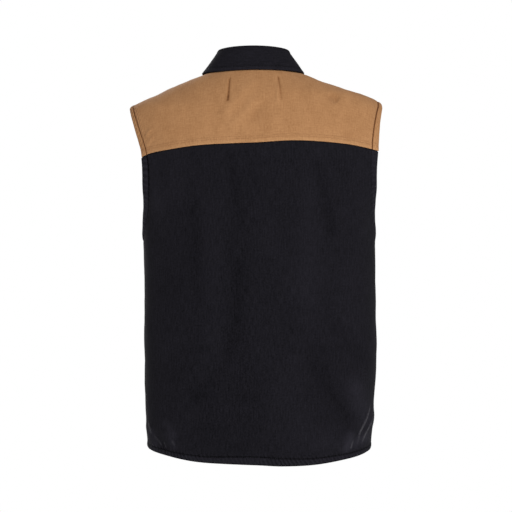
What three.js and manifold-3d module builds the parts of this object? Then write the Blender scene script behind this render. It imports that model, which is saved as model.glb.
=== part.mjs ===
// A sleeveless vest of black denim with a tan canvas yoke, in the shape it has when worn.
// Millimetres. +Z is up, the front faces -Y and the wearer's left is +X.
// The origin is the middle of the neck, level with where the collar meets the shoulders.
import * as THREE from "three";
import { mergeVertices } from "three/addons/utils/BufferGeometryUtils.js";
import Module from "manifold-3d";

// Cloth and seams
const WALL = 2.4;
const SEAM_GAP = 0.4;
const COLLAR_GAP = 1.2;
const MERGE_DISTANCE = 1e-3;

// Height of the hem at the sides and how far it hangs lower at the front
const HEM_SIDE = -647;
const HEM_FRONT_DROP = 13;

// Armholes: the lowest point, how far they cut into back and front, and how square they are
const ARMPIT_HEIGHT = -280;
const SHOULDER_TIP_LEFT = -55;
const SHOULDER_TIP_RIGHT = -51;
const ARMHOLE_BACK_CUT = radians(20);
const ARMHOLE_FRONT_CUT = radians(26);
const ARMHOLE_SQUARE_LEFT = 0.75;
const ARMHOLE_SQUARE_RIGHT = 0.85;
const SIDE_SEAM_ANGLE = radians(93);
const SEAM_ANGLE = radians(0.12);

// The shoulder seams lie in front of the shoulder line, from the armhole to the neck
const SHOULDER_SEAM_OUTER_ANGLE = radians(99);
const SHOULDER_SEAM_NECK_ANGLE = radians(114);

// Rings seen from above, with their reach to the side, the back and the front: the neckline on the form,
// the line along which the collar folds down, and the line of the form under the leaf's edge
const NECK_RING = { side: 74, back: 60, front: 88 };
const FOLD_RING = { side: 57.5, back: 51, front: 84 };
const LEAF_RING = { side: 89, back: 63.5, front: 122 };

// Collar: height of the fold, how far it droops round the neck, and how far the leaf stands off and bulges
const FOLD_HEIGHT_BACK = 43;
const FOLD_HEIGHT_FRONT = -18;
const FOLD_DROOP = 4;
const FOLD_RADIUS = 3.4;
const LEAF_STAND_OFF = 1.4;
const LEAF_BULGE_BACK = 1;
const LEAF_BULGE_FRONT = 9;
const COLLAR_END_ANGLE = radians(176.5);
const COLLAR_POINT_SPREAD = 0.13;
const COLLAR_FRONT_START = radians(70);

// Zip in the front opening
const ZIP_OPENING = 9;
const ZIP_TAPE_WIDTH = 28;
const ZIP_TAPE_GAP = 0.6;
const ZIP_CHAIN_WIDTH = 6;
const ZIP_SLIDER_WIDTH = 7.6;
const ZIP_SLIDER_LENGTH = 13;
const ZIP_PULL_WIDTH = 6;
const ZIP_PULL_LENGTH = 30;

// Cells of each wall. The rows of back and fronts are counted below and above the armpit, the columns of
// a front below neckline and shoulder seam, and those of half the yoke along its seam and armhole.
const BACK_CELLS = { across: 32, below: 14, above: 11 };
const FRONT_CELLS = { neck: 8, shoulder: 8, below: 12, above: 12 };
const YOKE_CELLS = { seam: 16, armholeBack: 8, armholeFront: 4, up: 8 };
const COLLAR_COLUMNS = 44;
const ROW_BEND = 1.5;

// Horizontal sections from the hem to the neck. left and right are the sides' distances from the middle,
// back and front the depths, and square is 2 for an ellipse and more for a squarer section.
// Between armpit and shoulder the sides are those of the arm that the armhole leaves out.
const SECTIONS = [
  { height: -680, left: 183.5, right: 202.5, back: 117, front: 119, square: 2.6 },
  { height: -650, left: 186.5, right: 205, back: 118, front: 120, square: 2.6 },
  { height: -605, left: 189, right: 208.5, back: 119, front: 121, square: 2.6 },
  { height: -500, left: 192, right: 215.5, back: 121, front: 122, square: 2.6 },
  { height: -390, left: 192, right: 214, back: 123, front: 125, square: 2.55 },
  { height: -290, left: 194.5, right: 213.5, back: 127, front: 129, square: 2.5 },
  { height: -245, left: 199.5, right: 217, back: 129, front: 130, square: 2.5 },
  { height: -200, left: 208.5, right: 228, back: 130, front: 128, square: 2.45 },
  { height: -140, left: 217.5, right: 237, back: 128, front: 121, square: 2.4 },
  { height: -95, left: 232, right: 242.5, back: 120, front: 110, square: 2.25 },
  { height: -61, left: 228, right: 237, back: 108, front: 92, square: 2.1 },
  { height: -44, left: 195, right: 216, back: 100, front: 82, square: 2.05 },
  { height: -33, left: 168.5, right: 190, back: 94, front: 75, square: 2.05 },
  { height: -23, left: 148, right: 158, back: 87, front: 69, square: 2 },
  { height: -12, left: 122.5, right: 126, back: 78, front: 63, square: 2 },
  { height: -2, left: 97, right: 99, back: 69, front: 59, square: 2 },
  { height: 8, left: 72, right: 72, back: 59, front: 56, square: 2 },
];

// The yoke seam: share runs from -1 at the wearer's right armhole to 1 at the left one.
const YOKE_SEAM = [
  { share: -1, height: -134.5 },
  { share: -0.75, height: -125 },
  { share: -0.4, height: -120.5 },
  { share: 0, height: -123.5 },
  { share: 0.4, height: -126 },
  { share: 0.6, height: -128.5 },
  { share: 0.8, height: -135.5 },
  { share: 1, height: -142 },
];

// The hem of the back, with share from -1 at the wearer's right side seam to 1 at the left one.
const BACK_HEM = [
  { share: -1, height: HEM_SIDE },
  { share: -0.7, height: -661.5 },
  { share: -0.45, height: -671.8 },
  { share: -0.2, height: -674 },
  { share: 0, height: -672.3 },
  { share: 0.3, height: -670.2 },
  { share: 0.5, height: -667 },
  { share: 0.75, height: -655.5 },
  { share: 1, height: HEM_SIDE },
];

// Folds and darts of the back as seen from behind: from one point to another, in distance from the
// middle and height, with a width and a rise outward (a dart sinks in).
const FOLDS = [
  { fromX: 189, fromZ: -600, toX: 168, toZ: -648, width: 8, rise: 3 },
  { fromX: 183, fromZ: -608, toX: 146, toZ: -656, width: 8, rise: -2.5 },
  { fromX: 158, fromZ: -610, toX: 131, toZ: -655, width: 9, rise: 3 },
  { fromX: -208, fromZ: -578, toX: -184, toZ: -640, width: 8, rise: 3 },
  { fromX: -200, fromZ: -600, toX: -164, toZ: -652, width: 8, rise: -2.5 },
  { fromX: -180, fromZ: -598, toX: -146, toZ: -655, width: 9, rise: 3 },
  { fromX: 30, fromZ: -300, toX: 26, toZ: -470, width: 22, rise: -3 },
  { fromX: -100, fromZ: -470, toX: -160, toZ: -600, width: 20, rise: -3 },
  { fromX: 43, fromZ: -14, toX: 45, toZ: -55, width: 5, rise: -2.4 },
  { fromX: -44, fromZ: -14, toX: -48, toZ: -52, width: 5, rise: -2.2 },
];

const DENIM = { color: 0x1d1c21, roughness: 0.95, metalness: 0 };
const CANVAS = { color: 0xaf8158, roughness: 0.92, metalness: 0 };
const ZIP_METAL = { color: 0x55524c, roughness: 0.45, metalness: 0.8 };

function radians(degrees) {
  return THREE.MathUtils.degToRad(degrees);
}

function mix(from, to, share) {
  return THREE.MathUtils.lerp(from, to, share);
}

function ease(value, low, high) {
  return THREE.MathUtils.smoothstep(value, low, high);
}

// Reads every column of a table at a value of its key, on a smooth curve through the rows.
function readTable(rows, key, value) {
  const last = rows.length - 1;
  const at = THREE.MathUtils.clamp(value, rows[0][key], rows[last][key]);
  let row = 0;
  while (row < last - 1 && rows[row + 1][key] < at) {
    row += 1;
  }
  const span = rows[row + 1][key] - rows[row][key];
  const t = (at - rows[row][key]) / span;
  const slope = (column, index) => {
    const before = rows[Math.max(index - 1, 0)];
    const after = rows[Math.min(index + 1, last)];
    return (after[column] - before[column]) / (after[key] - before[key]);
  };
  const read = {};
  for (const column of Object.keys(rows[0])) {
    const start = rows[row][column];
    const end = rows[row + 1][column];
    const leave = slope(column, row) * span;
    const arrive = slope(column, row + 1) * span;
    const rise = end - start;
    read[column] = start + t * (leave + t * (3 * rise - 2 * leave - arrive + t * (leave + arrive - 2 * rise)));
  }
  return read;
}

// A point of the worn form. The angle is 0 at centre back, a quarter turn at the wearer's left.
function form(angle, height) {
  const { left, right, back, front, square } = readTable(SECTIONS, "height", height);
  const across = Math.sin(angle);
  const deep = Math.cos(angle);
  const halfWidth = (left + right) / 2;
  const depth = deep > 0 ? back : front;
  const widthTerm = Math.abs(across / halfWidth) ** square;
  const depthTerm = Math.abs(deep / depth) ** square;
  const radius = (widthTerm + depthTerm) ** (-1 / square);
  return new THREE.Vector3((left - right) / 2 + radius * across, radius * deep, height);
}

// The direction out of the form at a point of it.
function outward(angle, height) {
  const turn = 1e-3;
  const climb = 0.2;
  const around = form(angle + turn, height).sub(form(angle - turn, height));
  const up = form(angle, height + climb).sub(form(angle, height - climb));
  return up.cross(around).normalize();
}

// How far the cloth stands out of the form in the folds of the back.
function foldRise(point) {
  if (point.y < 0) {
    return 0;
  }
  let rise = 0;
  for (const fold of FOLDS) {
    const runX = fold.toX - fold.fromX;
    const runZ = fold.toZ - fold.fromZ;
    const offX = point.x - fold.fromX;
    const offZ = point.z - fold.fromZ;
    const along = THREE.MathUtils.clamp((offX * runX + offZ * runZ) / (runX * runX + runZ * runZ), 0, 1);
    const apart = Math.hypot(offX - along * runX, offZ - along * runZ);
    rise += fold.rise * Math.exp(-((apart / fold.width) ** 2));
  }
  return rise;
}

// A point of the cloth: face is 1 on the outer face of the wall and 0 on the inner one.
function cloth(angle, height, face) {
  const point = form(angle, height);
  return point.addScaledVector(outward(angle, height), foldRise(point) - (1 - face) * WALL);
}

// A closed wall of across by up cells that follows place(u, v, face).
// u runs towards the wearer's right on the back, v runs up, and face runs from the inner to the outer face.
function wall(across, up, place) {
  const box = new THREE.BoxGeometry(1, 1, 1, across, up, 1);
  const spots = box.getAttribute("position");
  for (let i = 0; i < spots.count; i += 1) {
    const point = place(spots.getX(i) + 0.5, spots.getY(i) + 0.5, spots.getZ(i) + 0.5);
    spots.setXYZ(i, point.x, point.y, point.z);
  }
  box.deleteAttribute("normal");
  box.deleteAttribute("uv");
  box.clearGroups();
  splitCellsShort(box);
  const closed = mergeVertices(box, MERGE_DISTANCE);
  closed.computeVertexNormals();
  return closed;
}

// Splits every four-sided cell of a wall along its shorter diagonal.
function splitCellsShort(geometry) {
  const spots = geometry.getAttribute("position");
  const corner = (i) => new THREE.Vector3().fromBufferAttribute(spots, i);
  const index = geometry.index;
  for (let i = 0; i < index.count; i += 6) {
    const [a, b, d, , c] = index.array.slice(i, i + 6);
    if (corner(a).distanceTo(corner(c)) < corner(b).distanceTo(corner(d))) {
      index.array.set([a, b, c, a, c, d], i);
    }
  }
}

function hemHeight(angle) {
  if (Math.abs(angle) < SIDE_SEAM_ANGLE) {
    return readTable(BACK_HEM, "share", angle / SIDE_SEAM_ANGLE).height;
  }
  return HEM_SIDE - HEM_FRONT_DROP * Math.sin((Math.abs(angle) - SIDE_SEAM_ANGLE) / 2);
}

function ringRadius(ring, angle) {
  const deep = Math.cos(angle);
  return 1 / Math.hypot(Math.sin(angle) / ring.side, deep / (deep > 0 ? ring.back : ring.front));
}

// The height at which the form narrows to a ring.
function ringHeight(ring, angle) {
  const radius = ringRadius(ring, angle);
  const top = SECTIONS[SECTIONS.length - 1].height;
  return halve(ARMPIT_HEIGHT, top, (height) => form(angle, height).setZ(0).length() > radius);
}

// The value between low and high up to which a test holds.
function halve(low, high, holds) {
  const middle = (low + high) / 2;
  if (high - low < MERGE_DISTANCE) {
    return middle;
  }
  return holds(middle) ? halve(middle, high, holds) : halve(low, middle, holds);
}

function shoulderTip(side) {
  return side > 0 ? SHOULDER_TIP_LEFT : SHOULDER_TIP_RIGHT;
}

// The armhole's edge at a height, on the back or the front of the side where it is cut.
function armholeAngle(side, height, cut) {
  const tip = shoulderTip(side);
  const middle = (tip + ARMPIT_HEIGHT) / 2;
  const reach = (tip - ARMPIT_HEIGHT) / 2;
  const level = THREE.MathUtils.clamp((height - middle) / reach, -1, 1);
  const centre = mix(SIDE_SEAM_ANGLE, Math.PI / 2, (level + 1) / 2);
  const square = side > 0 ? ARMHOLE_SQUARE_LEFT : ARMHOLE_SQUARE_RIGHT;
  return centre + cut * (1 - level * level) ** (square / 2);
}

function yokeSeamHeight(share) {
  return readTable(YOKE_SEAM, "share", share).height;
}

// The height of a panel's row at its side edge: even rows up to the armpit, then rows that close up
// at both ends of the armhole.
function edgeRowHeight(v, cells, edgeTop) {
  const below = cells.below / (cells.below + cells.above);
  if (v <= below) {
    return mix(HEM_SIDE, ARMPIT_HEIGHT, v / below);
  }
  const along = (v - below) / (1 - below);
  return mix(ARMPIT_HEIGHT, edgeTop, (1 - Math.cos(Math.PI * along)) / 2);
}

// The height of the same row further in: level at the armpit, and bending to the hem and to the top edge.
function rowHeight(edgeHeight, edgeTop, hem, top) {
  if (edgeHeight < ARMPIT_HEIGHT) {
    return edgeHeight + ((hem - HEM_SIDE) * (ARMPIT_HEIGHT - edgeHeight)) / (ARMPIT_HEIGHT - HEM_SIDE);
  }
  const rise = (edgeHeight - ARMPIT_HEIGHT) / (edgeTop - ARMPIT_HEIGHT);
  return edgeHeight + (top - edgeTop) * rise ** ROW_BEND;
}

// The back panel: each row runs from side to side, between the side seams and then the armholes.
function backPanel() {
  return wall(BACK_CELLS.across, BACK_CELLS.below + BACK_CELLS.above, (u, v, face) => {
    const share = 1 - 2 * u;
    const side = Math.sign(share) || 1;
    const edgeTop = yokeSeamHeight(side) - SEAM_GAP / 2;
    const edgeHeight = edgeRowHeight(v, BACK_CELLS, edgeTop);
    const angle = share * (armholeAngle(side, edgeHeight, -ARMHOLE_BACK_CUT) - SEAM_ANGLE / 2);
    const top = yokeSeamHeight(share) - SEAM_GAP / 2;
    return cloth(angle, rowHeight(edgeHeight, edgeTop, hemHeight(angle), top), face);
  });
}

// A front: each row runs from the zip to the side seam and then the armhole, under neckline and shoulder seam.
function frontPanel(side) {
  const columns = FRONT_CELLS.neck + FRONT_CELLS.shoulder;
  const neckStep = FRONT_CELLS.neck / columns;
  const neckShare = (Math.PI - SHOULDER_SEAM_NECK_ANGLE) / (Math.PI - SHOULDER_SEAM_OUTER_ANGLE);
  const edgeTop = shoulderSeamOuterHeight(side) - SEAM_GAP;
  const neckEnd = ringHeight(NECK_RING, side * SHOULDER_SEAM_NECK_ANGLE) - SEAM_GAP;
  return wall(columns, FRONT_CELLS.below + FRONT_CELLS.above, (u, v, face) => {
    const step = side > 0 ? u : 1 - u;
    const seamShare = Math.max(0, (step - neckStep) / (1 - neckStep));
    const share = step < neckStep ? (step / neckStep) * neckShare : mix(neckShare, 1, seamShare);
    const edgeHeight = edgeRowHeight(v, FRONT_CELLS, edgeTop);
    const edge = armholeAngle(side, edgeHeight, ARMHOLE_FRONT_CUT) + SEAM_ANGLE / 2;
    const angle = Math.PI - share * (Math.PI - edge);
    const topAngle = Math.PI - share * (Math.PI - SHOULDER_SEAM_OUTER_ANGLE);
    const neck = ringHeight(NECK_RING, side * topAngle) - SEAM_GAP;
    const top = seamShare > 0 ? mix(neckEnd, edgeTop, seamShare) : neck;
    const height = rowHeight(edgeHeight, edgeTop, hemHeight(angle), top);
    const opening = Math.asin(ZIP_OPENING / 2 / readTable(SECTIONS, "height", height).front);
    return cloth(side * Math.min(angle, Math.PI - opening), height, face);
  });
}

// Where the shoulder seam meets the front edge of the armhole.
function shoulderSeamOuterHeight(side) {
  const widest = ARMPIT_HEIGHT / 2;
  return halve(widest, shoulderTip(side), (height) => {
    return armholeAngle(side, height, ARMHOLE_FRONT_CUT) > SHOULDER_SEAM_OUTER_ANGLE;
  });
}

// A point of the yoke's outer edge, counted in columns from the middle of the yoke seam: along that seam,
// up the back of the armhole to the shoulder's tip and down its front to the shoulder seam.
function yokeEdge(side, column) {
  const { seam, armholeBack, armholeFront } = YOKE_CELLS;
  const cornerHeight = yokeSeamHeight(side);
  if (column <= seam) {
    const share = column / seam;
    const corner = armholeAngle(side, cornerHeight, -ARMHOLE_BACK_CUT);
    return { angle: share * corner, height: yokeSeamHeight(side * share) + SEAM_GAP / 2 };
  }
  if (column <= seam + armholeBack) {
    const along = (column - seam) / armholeBack;
    const height = mix(cornerHeight + SEAM_GAP / 2, shoulderTip(side), Math.sin((along * Math.PI) / 2));
    return { angle: armholeAngle(side, height, -ARMHOLE_BACK_CUT), height };
  }
  const along = (column - seam - armholeBack) / armholeFront;
  const height = mix(shoulderSeamOuterHeight(side), shoulderTip(side), Math.cos((along * Math.PI) / 2));
  return { angle: armholeAngle(side, height, ARMHOLE_FRONT_CUT), height };
}

// The yoke: each column runs from its outer edge in to the neckline, where the columns are evenly spread.
function backYoke() {
  const half = YOKE_CELLS.seam + YOKE_CELLS.armholeBack + YOKE_CELLS.armholeFront;
  return wall(2 * half, YOKE_CELLS.up, (u, v, face) => {
    const share = 1 - 2 * u;
    const side = Math.sign(share) || 1;
    const edge = yokeEdge(side, Math.abs(share) * half);
    const neckAngle = Math.abs(share) * SHOULDER_SEAM_NECK_ANGLE;
    const height = mix(edge.height, ringHeight(NECK_RING, side * neckAngle) - SEAM_GAP / 2, v);
    return cloth(side * mix(edge.angle, neckAngle, v), height, face);
  });
}

// The middle line of the collar's section: up the stand, round the fold and down the leaf.
function collarLine(angle) {
  const forward = ease(Math.abs(angle), COLLAR_FRONT_START, Math.PI);
  const radial = new THREE.Vector3(Math.sin(angle), Math.cos(angle), 0);
  const neckHeight = ringHeight(NECK_RING, angle) + COLLAR_GAP;
  const seat = form(angle, neckHeight).addScaledVector(outward(angle, neckHeight), -WALL / 2);
  const standTop = radial.clone().multiplyScalar(ringRadius(FOLD_RING, angle));
  standTop.z = mix(FOLD_HEIGHT_BACK, FOLD_HEIGHT_FRONT, forward) - FOLD_DROOP * (1 - Math.cos(angle));
  const foldTop = standTop.clone().addScaledVector(radial, FOLD_RADIUS);
  foldTop.z += FOLD_RADIUS;
  const leafTop = standTop.clone().addScaledVector(radial, 2 * FOLD_RADIUS);
  const edgeAngle = angle * (1 - COLLAR_POINT_SPREAD * forward ** 4);
  const edgeHeight = ringHeight(LEAF_RING, edgeAngle);
  const leafEdge = form(edgeAngle, edgeHeight);
  leafEdge.addScaledVector(outward(edgeAngle, edgeHeight), LEAF_STAND_OFF + WALL / 2);
  const bulge = leafTop.clone().lerp(leafEdge, 0.5);
  bulge.addScaledVector(radial, mix(LEAF_BULGE_BACK, LEAF_BULGE_FRONT, forward));
  const line = new THREE.CurvePath();
  line.add(new THREE.LineCurve3(seat, standTop));
  line.add(new THREE.QuadraticBezierCurve3(standTop, standTop.clone().setZ(foldTop.z), foldTop));
  line.add(new THREE.QuadraticBezierCurve3(foldTop, leafTop.clone().setZ(foldTop.z), leafTop));
  line.add(new THREE.QuadraticBezierCurve3(leafTop, bulge, leafEdge));
  return line;
}

// Rows of the collar along its section: which of the section's four curves, and how far along it.
const COLLAR_ROWS = [
  { curve: 0, along: 0 },
  { curve: 0, along: 0.5 },
  { curve: 0, along: 1 },
  { curve: 1, along: 0.5 },
  { curve: 1, along: 1 },
  { curve: 2, along: 0.5 },
  { curve: 2, along: 1 },
  { curve: 3, along: 0.25 },
  { curve: 3, along: 0.5 },
  { curve: 3, along: 0.75 },
  { curve: 3, along: 1 },
];

function collar() {
  const lastRow = COLLAR_ROWS.length - 1;
  const lines = [];
  for (let i = 0; i <= COLLAR_COLUMNS; i += 1) {
    lines.push(collarLine(COLLAR_END_ANGLE * (1 - (2 * i) / COLLAR_COLUMNS)));
  }
  const spot = (column, row) => {
    const { curve, along } = COLLAR_ROWS[row];
    return lines[column].curves[curve].getPoint(along);
  };
  return wall(COLLAR_COLUMNS, lastRow, (u, v, face) => {
    const column = Math.round(u * COLLAR_COLUMNS);
    const row = Math.round(v * lastRow);
    const before = spot(Math.max(column - 1, 0), row);
    const after = spot(Math.min(column + 1, COLLAR_COLUMNS), row);
    const below = spot(column, Math.max(row - 1, 0));
    const above = spot(column, Math.min(row + 1, lastRow));
    const out = after.sub(before).cross(above.sub(below)).normalize();
    return spot(column, row).addScaledVector(out, (face - 0.5) * WALL);
  });
}

// A strip up the centre front between two depths measured out from the cloth's outer face.
// heightAt gives the height of each of its rows.
function zipStrip(width, inner, outer, rows, heightAt) {
  return wall(1, rows, (u, v, face) => {
    const height = heightAt(v);
    const point = form(Math.PI, height).addScaledVector(outward(Math.PI, height), mix(inner, outer, face));
    point.x += (u - 0.5) * width;
    return point;
  });
}

const { Manifold, Mesh: ManifoldMesh } = await loadManifold();

async function loadManifold() {
  const toolkit = await Module();
  toolkit.setup();
  return toolkit;
}

function toManifold(geometry) {
  const mesh = new ManifoldMesh({
    numProp: 3,
    vertProperties: Float32Array.from(geometry.getAttribute("position").array),
    triVerts: Uint32Array.from(geometry.index.array),
  });
  return new Manifold(mesh);
}

function fromManifold(solid) {
  const mesh = solid.getMesh();
  const geometry = new THREE.BufferGeometry();
  geometry.setAttribute("position", new THREE.BufferAttribute(mesh.vertProperties, 3));
  geometry.setIndex(new THREE.BufferAttribute(mesh.triVerts, 1));
  geometry.computeVertexNormals();
  return geometry;
}

// The zip's tape and chain have the fronts' rows, so that they stay level with the cloth beside them.
function frontZip() {
  const top = ringHeight(NECK_RING, Math.PI) - SEAM_GAP;
  const edgeTop = shoulderSeamOuterHeight(1) - SEAM_GAP;
  const clothRow = (v) => rowHeight(edgeRowHeight(v, FRONT_CELLS, edgeTop), edgeTop, hemHeight(Math.PI), top);
  const rows = FRONT_CELLS.below + FRONT_CELLS.above;
  const behind = -WALL - ZIP_TAPE_GAP;
  const tape = zipStrip(ZIP_TAPE_WIDTH, behind - 1.2, behind, rows, clothRow);
  const chain = zipStrip(ZIP_CHAIN_WIDTH, behind - 0.6, -0.2, rows, clothRow);
  const sliderTop = top - ZIP_SLIDER_LENGTH / 2;
  const slider = zipStrip(ZIP_SLIDER_WIDTH, -1.8, 3, 1, (v) => sliderTop - (1 - v) * ZIP_SLIDER_LENGTH);
  const pullTop = sliderTop - ZIP_SLIDER_LENGTH / 3;
  const pull = zipStrip(ZIP_PULL_WIDTH, 2.4, 4.2, 1, (v) => pullTop - (1 - v) * ZIP_PULL_LENGTH);
  return fromManifold(Manifold.union([tape, chain, slider, pull].map(toManifold)));
}

function piece(name, geometry, look) {
  const mesh = new THREE.Mesh(geometry, new THREE.MeshStandardMaterial(look));
  mesh.name = name;
  return mesh;
}

const vest = new THREE.Group();
vest.name = "denim_vest";
vest.add(piece("back_yoke", backYoke(), CANVAS));
vest.add(piece("back_panel", backPanel(), DENIM));
vest.add(piece("collar", collar(), DENIM));
vest.add(piece("front_left", frontPanel(1), DENIM));
vest.add(piece("front_right", frontPanel(-1), DENIM));
vest.add(piece("front_zip", frontZip(), ZIP_METAL));

export default vest;
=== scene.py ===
import math

import bmesh
import bpy
import numpy as np
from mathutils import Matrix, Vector
from mathutils.bvhtree import BVHTree


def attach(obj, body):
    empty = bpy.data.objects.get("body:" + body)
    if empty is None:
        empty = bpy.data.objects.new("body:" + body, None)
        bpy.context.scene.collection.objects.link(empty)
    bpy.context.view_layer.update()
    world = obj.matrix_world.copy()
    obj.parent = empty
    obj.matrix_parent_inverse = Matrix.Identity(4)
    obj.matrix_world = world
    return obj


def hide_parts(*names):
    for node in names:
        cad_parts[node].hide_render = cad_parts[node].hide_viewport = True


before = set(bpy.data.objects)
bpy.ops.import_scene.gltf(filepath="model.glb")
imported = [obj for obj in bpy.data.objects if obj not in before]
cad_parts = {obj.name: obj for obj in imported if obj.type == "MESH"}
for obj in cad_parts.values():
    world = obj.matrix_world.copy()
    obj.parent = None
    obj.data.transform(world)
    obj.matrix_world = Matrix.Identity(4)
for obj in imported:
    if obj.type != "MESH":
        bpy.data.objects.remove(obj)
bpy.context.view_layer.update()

# Camera at the photograph's angle, square behind the vest
CAMERA_PLACE = (-0.0039, 3.2, -0.3168)
CAMERA_TURN = (math.radians(90), 0, math.radians(180))
CAMERA_LENS = 127.84
CAMERA_SENSOR = 36.0

camera_data = bpy.data.cameras.new("camera")
camera_data.lens = CAMERA_LENS
camera_data.sensor_width = CAMERA_SENSOR
camera = bpy.data.objects.new("camera", camera_data)
camera.location = CAMERA_PLACE
camera.rotation_euler = CAMERA_TURN
bpy.context.scene.collection.objects.link(camera)
bpy.context.scene.camera = camera

# Studio
WHITE = (1, 1, 1, 1)
FLOOR_COLOUR = (0.86, 0.86, 0.86, 1)
FLOOR_HEIGHT = -1.45
FLOOR_RADIUS = 4.4
FLOOR_CORNERS = 96
FLOOR_GLOW = 0.45
FLOOR_EDGE_GLOW = 0.75
FLOOR_GLOW_RUN = (1.0, 4.0)
ROOM_LIGHT = 0.42
VEST_MIDDLE = (0.0, 0.0, -0.35)
STUDIO_LAMPS = [
    {"name": "key_lamp", "place": (-1.6, 3.0, 1.6), "size": 1.2, "power": 92},
    {"name": "fill_lamp", "place": (2.6, 2.6, 0.0), "size": 2.4, "power": 4},
    {"name": "front_lamp", "place": (1.4, -3.0, 1.0), "size": 1.6, "power": 70},
]

# Cloth and seams. The tuck leans in by an angle for each millimetre above the yoke seam
METRE = 0.001
WELD_DISTANCE = 1e-6
CLOTH_THICKNESS = 1.5
TURNED_THICKNESS = 2.4
SEAM_GAP = 0.06
SHOULDER_SEAM_LAP = 0.4
SIDE_SEAM_LAP = math.radians(0.15)
TUCK_LEAN = math.radians(0.02)

# The worn form, close to the part's source
HEM_SIDE = -647
HEM_FRONT_DROP = 13
ARMPIT_HEIGHT = -280
SHOULDER_TIP_LEFT = -55
SHOULDER_TIP_RIGHT = -51
ARMHOLE_BACK_CUT = math.radians(20)
ARMHOLE_FRONT_CUT = math.radians(26)
ARMHOLE_SQUARE_LEFT = 0.75
ARMHOLE_SQUARE_RIGHT = 0.85
SIDE_SEAM_ANGLE = math.radians(93)
SHOULDER_SEAM_OUTER_ANGLE = math.radians(99)
SHOULDER_SEAM_NECK_ANGLE = math.radians(114)
ROW_BEND = 1.5
ROW_CLOSING = 0.85
NECK_RING = {"side": 74, "back": 60, "front": 88}
ZIP_OPENING = 9
ZIP_TAPE_WIDTH = 28

# The collar, from its seat in the neck over the fold to the leaf's edge
COLLAR_SEAT_DROP = {"back": 2, "front": 7}
COLLAR_SEAT_DEPTH = {"back": 5.8, "front": 4.2}
FOLD_RING = {"side": 57.5, "back": 51, "front": 84}
FOLD_HEIGHT = {"back": 43, "front": -18}
FOLD_DROOP = 4
FOLD_RADIUS = 3.4
LEAF_RING = {"side": 89, "back": 63.5, "front": 122}
LEAF_BULGE = {"back": -0.4, "front": 9}
LEAF_STAND_OFF = 0.5
LEAF_BLEND_ROWS = 4
COLLAR_END_ANGLE = math.radians(176.5)
COLLAR_FRONT_START = math.radians(70)
COLLAR_POINT_SPREAD = 0.13
COLLAR_POINT_BEND = 4
COLLAR_LEAN = 0.5
COLLAR_TILT = 0.4


def table(names, rows):
    """The columns of a table by name."""
    return {name: np.array(column, float) for name, column in zip(names, zip(*rows))}


# Horizontal sections: the sides' distances from the middle, the depths, and how square the section is
SECTION_COLUMNS = ("height", "left", "right", "back", "front", "square")
SECTIONS = table(
    SECTION_COLUMNS,
    [
        (-680, 183.5, 202.5, 117, 119, 2.6),
        (-650, 186.5, 205, 118, 120, 2.6),
        (-605, 189, 208.5, 119, 121, 2.6),
        (-500, 192, 215.5, 121, 122, 2.6),
        (-390, 192, 214, 123, 125, 2.55),
        (-290, 194.5, 213.5, 127, 129, 2.5),
        (-245, 199.5, 217, 129, 130, 2.5),
        (-200, 208.5, 228, 130, 128, 2.45),
        (-140, 217.5, 237, 128, 121, 2.4),
        (-95, 232, 242.5, 120, 110, 2.25),
        (-61, 228, 237, 108, 92, 2.1),
        (-44, 195, 216, 100, 82, 2.05),
        (-33, 168.5, 190, 94, 75, 2.05),
        (-23, 148, 158, 87, 69, 2),
        (-12, 122.5, 126, 78, 63, 2),
        (-2, 97, 99, 69, 59, 2),
        (8, 72, 72, 59, 56, 2),
    ],
)

# The yoke seam and the back's hem: share runs from -1 at the wearer's right to 1 at the left
YOKE_SEAM = table(
    ("share", "height"),
    [
        (-1, -135.3),
        (-0.75, -124.7),
        (-0.4, -120),
        (0, -123.5),
        (0.4, -126),
        (0.6, -128.5),
        (0.8, -135.1),
        (0.92, -140.1),
        (1, -146.4),
    ],
)
BACK_HEM = table(
    ("share", "height"),
    [
        (-1, HEM_SIDE),
        (-0.7, -661.5),
        (-0.45, -671.8),
        (-0.2, -674),
        (0, -672.3),
        (0.3, -670.2),
        (0.5, -667),
        (0.75, -655.5),
        (1, HEM_SIDE),
    ],
)

# Folds as seen from behind: from one point to another, in distance from the middle and height,
# with a width and a rise outward
FOLD_COLUMNS = ("from_x", "from_z", "to_x", "to_z", "width", "rise")
MAIN_FOLDS = table(
    FOLD_COLUMNS,
    [
        (30, -300, 26, -470, 22, -3),
        (-100, -470, -160, -600, 20, -3),
    ],
)
HEM_FOLDS = table(
    FOLD_COLUMNS,
    [
        (189, -600, 168, -648, 8, 3),
        (183, -608, 146, -656, 8, -2.5),
        (158, -610, 131, -655, 9, 3),
        (-208, -578, -184, -640, 8, 3),
        (-200, -600, -164, -652, 8, -2.5),
        (-180, -598, -146, -655, 9, 3),
    ],
)
SOFT_FOLDS = table(
    FOLD_COLUMNS,
    [
        (41, -149, 33, -210, 9, -2.6),
        (33, -210, 25, -262, 10, -1.8),
        (29, -290, 29, -314, 10, 1.4),
        (31, -330, 30, -430, 9, -1.6),
        (40, -455, 50, -505, 14, -2.2),
        (66, -525, 100, -552, 16, -2.8),
        (104, -228, 100, -307, 10, -2.2),
        (100, -307, 99, -404, 11, -1.5),
        (-106, -162, -118, -200, 10, -2.7),
        (-118, -200, -133, -272, 11, -2.8),
        (-131, -153, -152, -178, 7, -1.2),
        (-98, -498, -124, -538, 10, -1),
        (-124, -538, -160, -590, 8, -1.9),
        (-124, -374, -140, -436, 16, -0.9),
        (-140, -436, -181, -488, 14, -2.3),
        (165, -262, 158, -375, 12, -1),
        (25, -520, 32, -625, 52, -1.7),
        (-92, -215, -87, -375, 22, 1.9),
        (-87, -375, -82, -470, 22, 1),
        (65, -232, 67, -438, 15, 0.75),
        (-70, -466, -80, -595, 24, 1.2),
        (-172, -542, -196, -596, 18, 2.4),
        (140, -150, 136, -210, 26, 2),
    ],
)
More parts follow.
